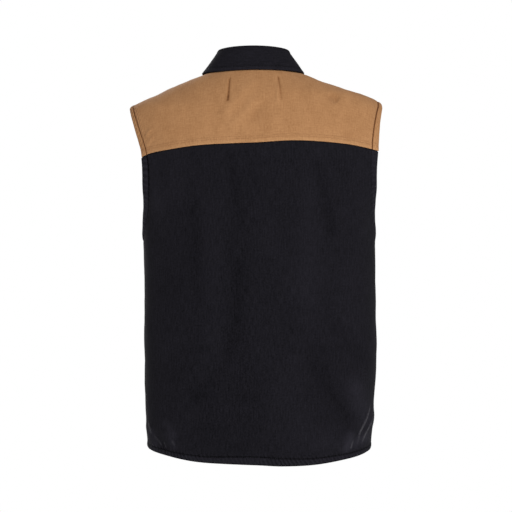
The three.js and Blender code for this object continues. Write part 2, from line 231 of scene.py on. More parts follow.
YOKE_FOLDS = table(
    FOLD_COLUMNS,
    [
        (-14, -2, 62, -90, 11, 2),
        (-22, -30, 48, -108, 10, 1.8),
        (-8, -52, 0, -94, 9, -1.7),
        (50, -63, 68, -74, 6, -0.55),
        (-40, -22, -40.5, -60, 2.6, 1.6),
        (-129, -38, -147, -50, 8, -3.6),
        (-150, -74, -184, -87, 10, -1),
        (-202, -44, -208, -68, 2.6, 0.6),
        (-207, -48, -212, -64, 2.4, -1),
        (-205, -62, -202.5, -100, 2.4, 0.9),
        (187, -130, 170, -110, 3, 0.9),
        (182, -132, 166, -116, 3, -0.7),
        (186, -112, 174, -98, 3, 1.8),
    ],
)

# Patches of painted light on the denim, by how much they lighten its tone
PAINTED_LIGHT_PATCHES = table(
    FOLD_COLUMNS,
    [
        (172, -152, 167, -226, 15, 0.3),
        (167, -226, 160, -330, 20, 0.12),
        (-160, -430, -176, -470, 26, 0.14),
        (-112, -630, -150, -640, 20, 0.28),
        (-172, -542, -198, -600, 16, 0.33),
        (-164, -624, -158, -648, 7, 0.8),
        (-174, -638, -194, -630, 10, 0.9),
        (178, -622, 170, -647, 8, 0.7),
        (151, -604, 135, -623, 6, 0.45),
        (145, -622, 135, -643, 5, 0.35),
    ],
)

# Hard creases that pull from the hem's corners, pale along their tops with rubbed wear and a painted
# highlight
CORNER_CREASES = table(
    FOLD_COLUMNS,
    [
        (-204.6, -564, -178.8, -633, 2.2, 1.8),
        (-188.2, -606, -177.4, -646, 2.2, 1.2),
        (-204.5, -591, -183, -647, 2.4, 1.9),
        (-171.5, -630, -164.5, -651, 2, 1.8),
        (-175.5, -632, -168.5, -652, 2.4, -0.6),
        (183.5, -600, 174.5, -627, 2.6, 2.2),
        (176.5, -621, 154, -649, 2.4, 1),
        (156.5, -631, 149, -648, 2, 1.2),
        (140.5, -629, 134, -643, 2, 1.3),
    ],
)

# The two darts at the back neck: narrow creases, with how dark the painted shade in them is at the top and
# the lower end
DARTS = table(
    ("from_x", "from_z", "to_x", "to_z", "width", "depth", "dark_top", "dark_low"),
    [
        (41.5, -11, 44, -52, 1, 2.8, 0.45, 1),
        (-42.5, -9, -47.5, -50, 1.05, 2.0, 0.55, 0.12),
    ],
)

# Width of the turned band round each armhole
ARMHOLE_BAND = table(
    ("height", "left", "right"),
    [(-280, 13, 13), (-235, 18, 14), (-190, 18.5, 15.5), (-140, 14.5, 17), (-95, 10.6, 14), (-50, 8, 9.5)],
)

# Width of the turned hem, by share of the way from the wearer's right side seam to the left
HEM_BAND = table(
    ("share", "width"),
    [(-1, 8), (-0.6, 9.5), (-0.2, 13.2), (0.1, 13.8), (0.4, 11), (0.7, 8.8), (1, 8)],
)

# Turned and stitched edges: puff of the band, depth, width and darkness of the painted shade in the stitched
# groove, darkness of the painted shadow along the rim, and the strength, spread past the stitches, pitch and
# slant of the puckers
FINISH_COLUMNS = ("puff", "groove", "line", "dark", "rim", "pucker", "spread", "pitch", "slant")
FINISH_ROWS = {
    "hem": (0.7, 1.0, 1.0, 0.62, 0.8, 0.85, 5, 7.2, 0.6),
    "left_armhole": (0.8, 1.8, 1.7, 1.0, 1.2, 1.4, 6, 8.8, 0.2),
    "right_armhole": (0.7, 0.6, 1.0, 0.25, 0.0, 0.8, 5, 8.4, 0.2),
    "left_yoke": (0.7, 1.0, 0.72, 0.95, 0.0, 1.1, 10, 7.6, 0.9),
    "right_yoke": (0.7, 1.1, 1.05, 0.95, 0.0, 0.7, 7, 7.6, 0.9),
    "yoke_seam": (0.15, 0.25, 1.2, 0.03, 0.0, 0.15, 5, 7.0, 0.3),
    "collar": (0.2, 0.15, 1.2, 0.3, 0.0, 0.2, 5, 7.4, 0.3),
    "plain": (0.2, 0.4, 1.2, 0.6, 0.0, 0.3, 5, 7.0, 0.3),
}
FINISHES = {kind: dict(zip(FINISH_COLUMNS, row)) for kind, row in FINISH_ROWS.items()}
RIM_WIDTH = 1.6
EDGE_END = 4
BAND_BORDER = (0.9, 1.1)
LEFT_GROOVE_FADE = {"from": 198, "to": 232, "loss": 0.75}

# Puckers: how they wander, as sizes and lengths, how they swell, and their strength past the stitches
PUCKER_WANDER = ((0.16, 23), (0.11, 11))
PUCKER_STEADY = 0.65
PUCKER_SWELL = 0.35
PUCKER_SWELL_LENGTH = 37
PUCKER_PAST_STITCHES = 0.6

# How pale the cloth is worn on its bands; the painted shade and light on folds, dark in their valleys and
# pale on their ridges; the rubbed wear and painted highlight on the creases' tops; and the painted highlight
# and rubbed wear along the yoke seam
BAND_WEAR = 0.4
LEFT_BAND_WEAR = 0.3
MAIN_FOLD_SHADING = 0.03
SOFT_FOLD_SHADING = 0.075
CREASE_WEAR_AND_SHADING = 0.3
YOKE_FOLD_SHADING = 0.24
YOKE_SEAM_WEAR_AND_HIGHLIGHT = ((0.5, 3), (0.5, 12))
COLLAR_WEAR = 0.15
COLLAR_BAND_WEAR = 0.3

# Relief of the creases, and the shares of their length over which folds, creases and darts run out
CREASE_RELIEF = 0.45
CREASE_FADE = 0.35
CREASE_POINTS = 13
HEM_FOLD_FADE = 0.45
YOKE_FOLD_FADE = 0.25
DART_END = {"from": 0.6, "loss": 0.7}

# Uneven cloth: size and height of its waves, and the seed of their directions
WAVE_DIRECTIONS = 9
WAVE_SPREAD = (0.7, 1.5)
BACK_WAVES = ((60, 0.35, 11), (17, 0.06, 12))
YOKE_WAVES = ((55, 0.3, 31), (15, 0.07, 32))
LEFT_FRONT_WAVES = ((70, 0.5, 52), (17, 0.06, 55))
RIGHT_FRONT_WAVES = ((70, 0.5, 50), (17, 0.06, 53))
COLLAR_WAVES = ((42, 0.3, 62),)

# Widths of the other bands, and how the yoke laps over the back panel's tucked allowance
YOKE_SEAM_BAND = 11.4
YOKE_SECOND_ROW = 7.6
YOKE_LAP = 0.9
YOKE_LAP_WIDTH = 9
YOKE_OVERLAP = 0.9
YOKE_FOLDS_CLEAR = (2, 22)
YOKE_ROLL = {"height": -150, "radius": 120}
PANEL_FOLDS_END = (-25, -4)
PANEL_TUCK = 2.8
PANEL_TUCK_RUN = (-3, 0.5)
PANEL_ALLOWANCE = 9
COLLAR_BAND = 7.0
ZIP_BAND = 9.0
SHOULDER_BAND = 3.0

# Planes that draw in the shoulders' tips: the side, how far each leans up in degrees, and how far out it is
SHOULDER_CUTS = table(("side", "lean", "reach"), [(1, 45, 114.4), (1, -16, 229.6), (-1, 10, 215.9)])
SHOULDER_CUT_SOFTNESS = 4

# Cells of each grid of cloth
BACK_CELLS = {"across": 280, "below": 96, "above": 62, "allowance": 6}
FRONT_CELLS = {"neck": 56, "shoulder": 84, "below": 66, "above": 78}
YOKE_CELLS = {"seam": 104, "armhole_back": 60, "armhole_front": 28, "up": 96}
COLLAR_CELLS = {"across": 300, "stand": 12, "fold": 7, "leaf": 34}
ZIP_TAPE_CELLS = {"across": 16, "up": 120}

# Stitches, and how far those of the yoke seam keep clear of the armholes' bands
STITCH_STEP = 3.3
STITCH_LENGTH = 2.7
STITCH_WIDTH = 0.75
STITCH_HEIGHT = 0.42
STITCH_SEAT = 0.3
BAND_CLEARANCE = 2


def mix(start, end, share):
    return start + (end - start) * share


def ease(value, low, high):
    share = np.clip((value - low) / (high - low), 0, 1)
    return share * share * (3 - 2 * share)


def bell(distance, width):
    return np.exp(-((distance / width) ** 2))


def unit(vectors):
    return vectors / np.linalg.norm(vectors, axis=-1, keepdims=True)


def read(rows, key, column, value):
    """A table's column at a value of its key, on a smooth curve through the rows."""
    keys = rows[key]
    values = rows[column]
    last = len(keys) - 1
    at = np.clip(value, keys[0], keys[last])
    row = np.clip(np.searchsorted(keys, at) - 1, 0, last - 1)
    before = np.maximum(np.arange(last + 1) - 1, 0)
    after = np.minimum(np.arange(last + 1) + 1, last)
    slopes = (values[after] - values[before]) / (keys[after] - keys[before])
    span = keys[row + 1] - keys[row]
    t = (at - keys[row]) / span
    leave = slopes[row] * span
    arrive = slopes[row + 1] * span
    rise = values[row + 1] - values[row]
    return values[row] + t * (leave + t * (3 * rise - 2 * leave - arrive + t * (leave + arrive - 2 * rise)))


def section(height):
    """Half width, sideways shift, back depth, front depth and squareness of the form at a height."""
    columns = [read(SECTIONS, "height", name, height) for name in SECTION_COLUMNS[1:]]
    left, right, back, front, square = columns
    return (left + right) / 2, (left - right) / 2, back, front, square


def form(angle, height):
    """Points of the worn form. The angle is 0 at centre back, a quarter turn at the wearer's left."""
    angle, height = np.broadcast_arrays(np.asarray(angle, float), np.asarray(height, float))
    half, shift, back, front, square = section(height)
    across = np.sin(angle)
    deep = np.cos(angle)
    depth = np.where(deep > 0, back, front)
    radius = (np.abs(across / half) ** square + np.abs(deep / depth) ** square) ** (-1 / square)
    return np.stack([shift + radius * across, radius * deep, height], axis=-1)


def outward(angle, height):
    """The direction out of the form."""
    turn = 1e-3
    climb = 0.2
    around = form(angle + turn, height) - form(angle - turn, height)
    up = form(angle, height + climb) - form(angle, height - climb)
    return unit(np.cross(up, around))


def place_on_form(points):
    """The angle and height of points near the form."""
    shift = section(points[..., 2])[1]
    return np.arctan2(points[..., 0] - shift, points[..., 1]), points[..., 2]


def outside(points):
    """Above zero outside the form, below it inside."""
    half, shift, back, front, square = section(points[..., 2])
    depth = np.where(points[..., 1] > 0, back, front)
    return np.abs((points[..., 0] - shift) / half) ** square + np.abs(points[..., 1] / depth) ** square - 1


def onto_form(points):
    """The nearest points of the form."""
    nudge = 0.05
    rounds = 4
    for _ in range(rounds):
        rises = [outside(points + nudge * axis) - outside(points - nudge * axis) for axis in np.eye(3)]
        slope = np.stack(rises, axis=-1) / (2 * nudge)
        points = points - (outside(points) / np.sum(slope * slope, axis=-1))[..., None] * slope
    return points


def ring_radius(ring, angle):
    deep = np.cos(angle)
    depth = np.where(deep > 0, ring["back"], ring["front"])
    return 1 / np.hypot(np.sin(angle) / ring["side"], deep / depth)


def halve(low, high, holds):
    """The value between low and high up to which a test holds."""
    rounds = 40
    for _ in range(rounds):
        middle = (low + high) / 2
        held = holds(middle)
        low = np.where(held, middle, low)
        high = np.where(held, high, middle)
    return (low + high) / 2


def ring_height(ring, angle):
    """The height at which the form narrows to a ring."""
    angle = np.asarray(angle, float)
    radius = ring_radius(ring, angle)
    low = np.full(angle.shape, float(ARMPIT_HEIGHT))
    high = np.full(angle.shape, SECTIONS["height"][-1])
    return halve(low, high, lambda height: np.linalg.norm(form(angle, height)[..., :2], axis=-1) > radius)


def hem_height(angle):
    turn = np.abs(angle)
    front = HEM_SIDE - HEM_FRONT_DROP * np.sin((turn - SIDE_SEAM_ANGLE) / 2)
    return np.where(turn < SIDE_SEAM_ANGLE, read(BACK_HEM, "share", "height", angle / SIDE_SEAM_ANGLE), front)


def yoke_seam_height(share):
    return read(YOKE_SEAM, "share", "height", share)


def shoulder_tip(side):
    return np.where(np.asarray(side) > 0, SHOULDER_TIP_LEFT, SHOULDER_TIP_RIGHT)


def armhole_angle(side, height, cut):
    """The armhole's edge at a height, on the back or the front of the side where it is cut."""
    tip = shoulder_tip(side)
    middle = (tip + ARMPIT_HEIGHT) / 2
    half = (tip - ARMPIT_HEIGHT) / 2
    level = np.clip((height - middle) / half, -1, 1)
    centre = mix(SIDE_SEAM_ANGLE, math.pi / 2, (level + 1) / 2)
    square = np.where(np.asarray(side) > 0, ARMHOLE_SQUARE_LEFT, ARMHOLE_SQUARE_RIGHT)
    return centre + cut * (1 - level * level) ** (square / 2)


def row_height(edge_height, edge_top, hem, top):
    """The height of a row away from the side edge: level at the armpit, bending to hem and top edge."""
    lower = edge_height + (hem - HEM_SIDE) * (ARMPIT_HEIGHT - edge_height) / (ARMPIT_HEIGHT - HEM_SIDE)
    rise = np.clip((edge_height - ARMPIT_HEIGHT) / (edge_top - ARMPIT_HEIGHT), 0, 1)
    upper = edge_height + (top - edge_top) * rise**ROW_BEND
    return np.where(edge_height < ARMPIT_HEIGHT, lower, upper)


def spaced(count, start_gain, end_gain, zone):
    """Steps from 0 to 1 that close up towards the ends."""
    samples = 4001
    line = np.linspace(0, 1, samples)
    density = 1 + start_gain * bell(line, zone) + end_gain * bell(1 - line, zone)
    gone = np.concatenate([[0], np.cumsum((density[1:] + density[:-1]) / 2)])
    return np.interp(np.linspace(0, gone[-1], count + 1), gone, line)


def panel_rows(cells, edge_top):
    """The heights of a panel's rows at its side edge: fine at the hem, closing up round the armhole."""
    below = mix(HEM_SIDE, ARMPIT_HEIGHT, spaced(cells["below"], start_gain=5, end_gain=1.5, zone=0.12))
    turn = np.linspace(0, 1, cells["above"] + 1)[1:]
    above = mix(ARMPIT_HEIGHT, edge_top, mix(turn, (1 - np.cos(math.pi * turn)) / 2, ROW_CLOSING))
    return np.concatenate([below, above])


def run_out(along, fade):
    """1 along the middle of a fold, falling to 0 at both ends over a share of its length."""
    if fade == 0:
        return np.ones_like(along)
    return ease(along, 0, fade) * ease(1 - along, 0, fade)


def near_line(points, from_x, from_z, to_x, to_z):
    """Seen from behind, the share along a straight line and the distance from it."""
    run = np.array([to_x - from_x, to_z - from_z])
    off = points[..., [0, 2]] - np.array([from_x, from_z])
    along = np.clip(off @ run / (run @ run), 0, 1)
    return along, np.linalg.norm(off - along[..., None] * run, axis=-1)


def fold_heights(points, folds, fade=0):
    """How far the cloth stands out of the form in each fold of the back. fade is the share of its length over
    which a fold runs out at each end."""
    heights = []
    for *ends, width, rise in zip(*folds.values()):
        along, apart = near_line(points, *ends)
        heights.append(rise * bell(apart, width) * run_out(along, fade))
    return np.where(points[..., 1] > 0, np.stack(heights), 0)


def added_folds(points, folds, fade=0):
    """Folds that lie across each other: their heights add up."""
    return np.sum(fold_heights(points, folds, fade), axis=0)


def merged_folds(points, folds):
    """Folds that run on into each other: the highest ridge and the deepest valley count."""
    heights = fold_heights(points, folds)
    return np.max(heights, axis=0, initial=0) + np.min(heights, axis=0, initial=0)


def on_back(across, height):
    """Points of the form's back that are seen from behind at a distance from the middle and a height."""
    half, shift, back, _, square = section(height)
    level = np.clip(np.abs((across - shift) / half), 0, 1)
    return np.stack([across, back * (1 - level**square) ** (1 / square), height], axis=-1)


def crease_rise(points):
    """How far the cloth stands out in the hard creases at the hem's corners."""
    total = np.zeros(points.shape[:-1])
    step = np.linspace(0, 1, CREASE_POINTS)
    for from_x, from_z, to_x, to_z, width, rise in zip(*CORNER_CREASES.values()):
        line = on_back(mix(from_x, to_x, step), mix(from_z, to_z, step))
        apart, along = reach(points, line)
        total += rise * bell(apart, width) * run_out(along / travelled(line)[-1], CREASE_FADE)
    return total


def dart_sink(points):
    """How far the yoke sinks in at its neck darts, with a sharp crease that runs out at its lower end, and a
    mask of the painted shade in the creases."""
    sink = np.zeros(points.shape[:-1])
    shade = np.zeros(points.shape[:-1])
    for *ends, width, depth, dark_top, dark_low in zip(*DARTS.values()):
        along, apart = near_line(points, *ends)
        crease = np.exp(-apart / width)
        sink += depth * (1 - DART_END["loss"] * ease(along, DART_END["from"], 1)) * crease
        shade += mix(dark_top, dark_low, along) * crease
    back = points[..., 1] > 0
    return np.where(back, sink, 0), np.where(back, shade, 0)


def gentle_waves(points, waves):
    """How far uneven cloth stands out: waves of a few sizes, each in many directions."""
    total = np.zeros(points.shape[:-1])
    for size, height, seed in waves:
        chance = np.random.default_rng(seed)
        for _ in range(WAVE_DIRECTIONS):
            direction = unit(chance.normal(size=3))
            stretch = 2 * math.pi / (size * chance.uniform(*WAVE_SPREAD))
            swing = np.sin(points @ direction * stretch + chance.uniform(0, 2 * math.pi))
            total += height * swing / math.sqrt(WAVE_DIRECTIONS / 2)
    return total


def travelled(line):
    """The length along a line up to each of its points."""
    return np.concatenate([[0], np.cumsum(np.linalg.norm(np.diff(line, axis=0), axis=1))])


def reach(points, line):
    """The distance from each point to a line, and how far along the line its nearest spot is."""
    shortest = 1e-9
    batch = 4000
    flat = points.reshape(-1, 3)
    runs = np.diff(line, axis=0)
    lengths = np.maximum(np.linalg.norm(runs, axis=1), shortest)
    lengths_before = travelled(line)
    distance = np.empty(len(flat))
    along = np.empty(len(flat))
    for start in range(0, len(flat), batch):
        spot = flat[start : start + batch]
        apart = np.sum(spot * spot, axis=1)[:, None] - 2 * spot @ line.T + np.sum(line * line, axis=1)
        nearest = np.argmin(apart, axis=1)
        best = np.full(len(spot), np.inf)
        best_along = np.zeros(len(spot))
        for step in (-1, 0):
            piece = np.clip(nearest + step, 0, len(runs) - 1)
            off = spot - line[piece]
            share = np.clip(np.sum(off * runs[piece], axis=1) / lengths[piece] ** 2, 0, 1)
            gap = np.linalg.norm(off - share[:, None] * runs[piece], axis=1)
            closer = gap < best
            best = np.where(closer, gap, best)
            best_along = np.where(closer, lengths_before[piece] + share * lengths[piece], best_along)
        distance[start : start + batch] = best
        along[start : start + batch] = best_along
    return distance.reshape(points.shape[:-1]), along.reshape(points.shape[:-1])


def inset(edge, width, turn):
    """A line on the form at a distance inside an edge. turn is 1 or -1 for the side that is inside."""
    line = edge
    steps = 4
    for _ in range(steps):
        tangent = unit(np.gradient(line, axis=0))
        normal = outward(*place_on_form(line))
        inward = turn * unit(np.cross(normal, tangent))
        line = onto_form(line + inward * (np.asarray(width) / steps)[..., None])
    return line


def past_end(points, end, before):
    """How far points lie past the end of a line."""
    return np.maximum((points - end) @ unit(end - before), 0)


def turned_edge(points, edge, line, kind, seed, lean=1):
    """An edge that is turned in and stitched along a line: its rise out of the cloth, masks of its band and
    of the painted shade in its groove and painted shadow along its rim, and its puckers as turns of a wave
    and their strength.
    lean is -1 for puckers that slant back."""
    finish = FINISHES[kind]
    from_edge, along = reach(points, edge)
    from_line, along_line = reach(points, line)
    width = np.interp(along_line, travelled(line), reach(line, edge)[0])
    level = np.clip(from_edge / width, 0, 1)
    past_ends = np.maximum(past_end(points, edge[0], edge[1]), past_end(points, edge[-1], edge[-2]))
    held = bell(past_ends, EDGE_END)
    groove = bell(from_line, finish["line"]) * held
    rim = bell(from_edge, RIM_WIDTH) * held
    puff = 4 * level * (1 - level) * held
    drift = np.random.default_rng(seed).uniform(0, 2 * math.pi, 3)
    wander = sum(size * np.sin(along / length + start) for (size, length), start in zip(PUCKER_WANDER, drift))
    swell = PUCKER_STEADY + PUCKER_SWELL * np.sin(along / PUCKER_SWELL_LENGTH + drift[2])
    past_stitches = PUCKER_PAST_STITCHES * bell(from_line, finish["spread"]) * held
    return {
        "rise": finish["puff"] * puff - finish["groove"] * groove,
        "band": (1 - ease(from_edge, BAND_BORDER[0] * width, BAND_BORDER[1] * width)) * held,
        "groove": np.maximum(finish["dark"] * groove, finish["rim"] * rim),
        "turn": (along + lean * finish["slant"] * from_edge) / finish["pitch"] + wander,
        "pucker": finish["pucker"] * swell * np.maximum(puff, past_stitches),
    }


def stitched_edge(points, edge, width, turn, kind, seed, lean=1):
    """The line of stitches at a distance inside an edge, and the edge turned in and stitched along it."""
    line = inset(edge, width, turn)
    return line, turned_edge(points, edge, line, kind, seed, lean)


def join_edges(edges):
    """Several turned edges of one panel together. Where two meet, their puckers die out."""
    puckers = np.stack([edge["pucker"] for edge in edges])
    turns = np.stack([edge["turn"] for edge in edges])
    strongest = np.argmax(puckers, axis=0)[None]
    ranked = np.sort(puckers, axis=0)
    return {
        "rise": np.sum([edge["rise"] for edge in edges], axis=0),
        "band": np.max([edge["band"] for edge in edges], axis=0),
        "groove": np.max([edge["groove"] for edge in edges], axis=0),
        "turn": np.take_along_axis(turns, strongest, axis=0)[0],
        "pucker": ranked[-1] - ranked[-2],
    }


def lengths_along(points, axis):
    """Lengths along a grid's rows or columns, counted from the middle one."""
    steps = np.linalg.norm(np.diff(points, axis=axis), axis=-1)
    start = np.zeros_like(np.take(steps, [0], axis=axis))
    total = np.cumsum(np.concatenate([start, steps], axis=axis), axis=axis)
    middle = np.take(total, [points.shape[axis] // 2], axis=axis)
    return total - middle


def rim_share(points):
    """How much of the wall's half thickness is left near the borders of a grid: 0 on them, 1 inside."""
    borders = [points[0], points[-1], points[:, 0], points[:, -1]]
    nearest = np.min([reach(points, border)[0] for border in borders], axis=0)
    short = np.clip(1 - nearest / (TURNED_THICKNESS / 2), 0, 1)
    return np.sqrt(1 - short * short)


def new_object(name, mesh, material):
    mesh.polygons.foreach_set("use_smooth", [True] * len(mesh.polygons))
    mesh.materials.append(material)
    thing = bpy.data.objects.new(name, mesh)
    bpy.context.scene.collection.objects.link(thing)
    return thing


def shape_piece(name, shape, material):
    """A piece from a loose shape, which is used up."""
    mesh = bpy.data.meshes.new(name)
    shape.to_mesh(mesh)
    shape.free()
    return new_object(name, mesh, material)


def cloth_piece(name, upper, lower, weave, marks, material):
    """A closed wall of cloth from two grids of points whose borders meet, with a weave map in metres.
    marks are values for each point that the material reads."""
    rows, columns = upper.shape[:2]
    shell = bmesh.new()
    weave_map = shell.loops.layers.uv.new("weave")
    layers = {key: shell.verts.layers.float.new(key) for key in marks}
    for points, turned in ((upper, False), (lower, True)):
        made = bmesh.ops.create_grid(shell, x_segments=columns - 1, y_segments=rows - 1, size=1)["verts"]
        threads = dict(zip(made, (weave.reshape(-1, 2) * METRE).tolist()))
        for vertex, spot in zip(made, (points.reshape(-1, 3) * METRE).tolist()):
            vertex.co = spot
        for key, layer in layers.items():
            for vertex, value in zip(made, marks[key].ravel().tolist()):
                vertex[layer] = value
        faces = {face for vertex in made for face in vertex.link_faces}
        for face in faces:
            for loop in face.loops:
                loop[weave_map].uv = threads[loop.vert]
        if turned:
            bmesh.ops.reverse_faces(shell, faces=sorted(faces, key=lambda face: face.index))
    bmesh.ops.remove_doubles(shell, verts=shell.verts, dist=WELD_DISTANCE)
    return shape_piece(name, shell, material)


def surface_finder(points):
    """A search tree over a grid of points, in millimetres."""
    rows, columns = points.shape[:2]
    corner = (np.arange(rows - 1)[:, None] * columns + np.arange(columns - 1)).ravel()
    cells = np.stack([corner, corner + 1, corner + columns + 1, corner + columns], axis=1)
    return BVHTree.FromPolygons(points.reshape(-1, 3).tolist(), cells.tolist())


def spot_along(line, lengths, at):
    """The point of a line at a length along it."""
    return np.array([np.interp(at, lengths, line[:, axis]) for axis in range(3)])


class Stitching:
    """Gathers stitches of one thread and joins them into one mesh."""

    def __init__(self):
        self.centres = []
        self.turns = []

    def sew(self, lines, finder, out=1, keep=None):
        """Stitches along lines, seated on a surface. keep tells which spots get one."""
        for line in lines:
            lengths = travelled(line)
            for at in np.arange(STITCH_STEP, lengths[-1] - STITCH_STEP, STITCH_STEP):
                here = spot_along(line, lengths, at)
                if keep is None or keep(here):
                    self.add(here, spot_along(line, lengths, at + 1) - here, finder, out)

    def add(self, here, along, finder, out):
        """One stitch near a spot, laid along a direction."""
        seat, normal, _, _ = finder.find_nearest(Vector(here))
        normal = np.array(normal) * out
        along = unit(along - normal * (along @ normal))
        aside = np.cross(normal, along)
        axes = np.stack([along * STITCH_LENGTH, aside * STITCH_WIDTH, normal * STITCH_HEIGHT])
        self.centres.append(np.array(seat) + normal * STITCH_HEIGHT * STITCH_SEAT)
        self.turns.append(axes / 2)

    def piece(self, name, material):
        """All the stitches as one piece of small beads."""
        bead = bmesh.new()
        bmesh.ops.create_icosphere(bead, subdivisions=1, radius=1)
        spots = np.array([vertex.co for vertex in bead.verts])
        faces = np.array([[vertex.index for vertex in face.verts] for face in bead.faces])
        bead.free()
        placed = np.einsum("vi,nij->nvj", spots, np.array(self.turns)) + np.array(self.centres)[:, None]
        joined = faces + (np.arange(len(self.centres)) * len(spots))[:, None, None]
        mesh = bpy.data.meshes.new(name)
        mesh.from_pydata((placed.reshape(-1, 3) * METRE).tolist(), [], joined.reshape(-1, 3).tolist())
        return new_object(name, mesh, material)


# Materials
YARN_HEIGHT = 0.0004
YARN_STRENGTH = 0.6
PUCKER_HEIGHT = 0.0009
PUCKER_WOBBLE = 4.0
TWILL_ANGLE = math.radians(32)

# Colours, and the ends of the ranges in which a cloth's tone, the rubbed wear and painted highlight on the
# denim's crease tops, or the painted shade at the skirts of the canvas's grooves goes from none to full
DENIM_DARK = (0.0016, 0.0015, 0.0022, 1)
DENIM_LIGHT = (0.0183, 0.0171, 0.0230, 1)
DENIM_RUBBED_HIGHLIGHT = (0.062, 0.060, 0.066, 1)
DENIM_TONE = (0.245, 0.725)
DENIM_RUBBED_HIGHLIGHT_RANGE = (0.2, 1.5)
CANVAS_DARK = (0.280, 0.132, 0.053, 1)
CANVAS_LIGHT = (0.458, 0.242, 0.110, 1)
CANVAS_GROOVE_SKIRT_SHADE = (0.270, 0.098, 0.022, 1)
CANVAS_GROOVE_SHADE = (0.044, 0.009, 0.003, 1)
CANVAS_TONE = (0.40, 0.78)
CANVAS_GROOVE_SKIRT_SHADE_RANGE = (0.0, 0.9)
THREAD_TONE = (0.3, 0.7)
ZIP_DARK = (0.075, 0.070, 0.062, 1)
ZIP_LIGHT = (0.16, 0.15, 0.13, 1)
ZIP_TONE = (0.35, 0.75)
ZIP_ROUGHNESS = (0.32, 0.5)

# Noise in each cloth: cells for each metre across and along the weave, detail, angle to the weave, and how
# much it counts in the cloth's tone and in its relief
DENIM_NOISES = {
    "twill": ((1100, 120), 1, TWILL_ANGLE, 0.1, 0.4),
    "slubs": ((420, 60), 2, 0.0, 0.3, 0.6),
    "grain": ((360, 330), 2, 0.0, 0.32, 0.6),
    "blotches": ((14, 7), 2, 0.0, 0.14, 0.0),
}
CANVAS_NOISES = {
    "weft": ((60, 800), 2, 0.0, 0.28, 0.5),
    "warp": ((800, 60), 2, 0.0, 0.28, 0.5),
    "mottle": ((360, 300), 2, 0.0, 0.26, 0.4),
    "patches": ((70, 40), 2, 0.0, 0.13, 0.0),
    "blotches": ((30, 16), 3, 0.0, 0.17, 0.0),
}


def new_material(name):
    material = bpy.data.materials.new(name)
    material.use_nodes = True
    tree = material.node_tree
    return material, tree, tree.nodes["Principled BSDF"]


def set_inputs(tree, node, inputs):
    """Links a node's inputs to other nodes or sets them to values."""
    for key, value in inputs.items():
        if isinstance(value, bpy.types.NodeSocket):
            tree.links.new(value, node.inputs[key])
        else:
            node.inputs[key].default_value = value


def add_node(tree, kind, inputs=None, **settings):
    node = tree.nodes.new(kind)
    for key, value in settings.items():
        setattr(node, key, value)
    set_inputs(tree, node, inputs or {})
    return node


def worked_out(tree, operation, *values):
    """One step of arithmetic."""
    return add_node(tree, "ShaderNodeMath", dict(enumerate(values)), operation=operation).outputs[0]


def sum_of(tree, *weighted):
    """Weighted sum of node outputs."""
    total, *terms = [worked_out(tree, "MULTIPLY", source, weight) for source, weight in weighted]
    for term in terms:
        total = worked_out(tree, "ADD", total, term)
    return total


def noise(tree, place, scale, detail):
    inputs = {"Vector": place, "Scale": scale, "Detail": detail}
    return add_node(tree, "ShaderNodeTexNoise", inputs).outputs["Fac"]


def even_noise(tree, scale, detail):
    """Noise over a whole piece: scale is in cells for each metre."""
    return noise(tree, add_node(tree, "ShaderNodeTexCoord").outputs["Object"], scale, detail)


def weave_noise(tree, threads, scale, detail, angle=0.0):
    """Noise drawn out along the weave or at an angle to it. scale is in cells for each metre."""
    turned = add_node(tree, "ShaderNodeMapping", {"Vector": threads, "Rotation": (0, 0, angle)}).outputs[0]
    stretched = add_node(tree, "ShaderNodeMapping", {"Vector": turned, "Scale": (*scale, 1)}).outputs[0]
    return noise(tree, stretched, 1, detail)


def ranged(tree, value, low, high, to_low=0.0, to_high=1.0, **settings):
    """A value carried over from one range to another."""
    ends = {"From Min": low, "From Max": high, "To Min": to_low, "To Max": to_high}
    return add_node(tree, "ShaderNodeMapRange", {"Value": value, **ends}, clamp=True, **settings).outputs[0]


def mix_colour(tree, factor, first, second):
    return add_node(tree, "ShaderNodeMix", {0: factor, 6: first, 7: second}, data_type="RGBA").outputs[2]


def ramp(tree, factor, low, high, dark, light):
    """A colour between dark and light as the factor goes from low to high."""
    return mix_colour(tree, ranged(tree, factor, low, high), dark, light)


def mark(tree, name):
    """A value that the cloth carries at each point."""
    return add_node(tree, "ShaderNodeAttribute", attribute_name=name).outputs["Fac"]


def pucker_waves(tree, threads):
    """Puckers along turned edges: a wave about 0, as high as they are strong."""
    wobble = weave_noise(tree, threads, scale=(70, 70), detail=2)
    turn = sum_of(tree, (mark(tree, "turn"), 2 * math.pi), (wobble, PUCKER_WOBBLE))
    return worked_out(tree, "MULTIPLY", worked_out(tree, "SINE", turn), mark(tree, "pucker"))


def relief_of(tree, fine, puckers):
    """The fine relief of the yarns, on top of the puckers along the edges."""
    gathers = {"Height": puckers, "Strength": 1.0, "Distance": PUCKER_HEIGHT}
    gathered = add_node(tree, "ShaderNodeBump", gathers).outputs[0]
    yarns = {"Height": fine, "Strength": YARN_STRENGTH, "Distance": YARN_HEIGHT, "Normal": gathered}
    return add_node(tree, "ShaderNodeBump", yarns).outputs[0]


def woven(tree, noises, pucker_weight, **mark_weights):
    """A woven cloth's noises by name, its tone with puckers and marks weighed in, and its relief."""
    threads = add_node(tree, "ShaderNodeUVMap", uv_map="weave").outputs[0]
    puckers = pucker_waves(tree, threads)
    # Puckers lighten the tone on their crests with rubbed wear and darken it in their troughs with painted
    # shade
    tone = [(puckers, pucker_weight)]
    tone += [(mark(tree, name), weight) for name, weight in mark_weights.items()]
    relief = []
    drawn = {}
    for name, (scale, detail, angle, in_tone, in_relief) in noises.items():
        drawn[name] = weave_noise(tree, threads, scale, detail, angle)
        tone.append((drawn[name], in_tone))
        relief.append((drawn[name], in_relief))
    return drawn, sum_of(tree, *tone), relief_of(tree, sum_of(tree, *relief), puckers)


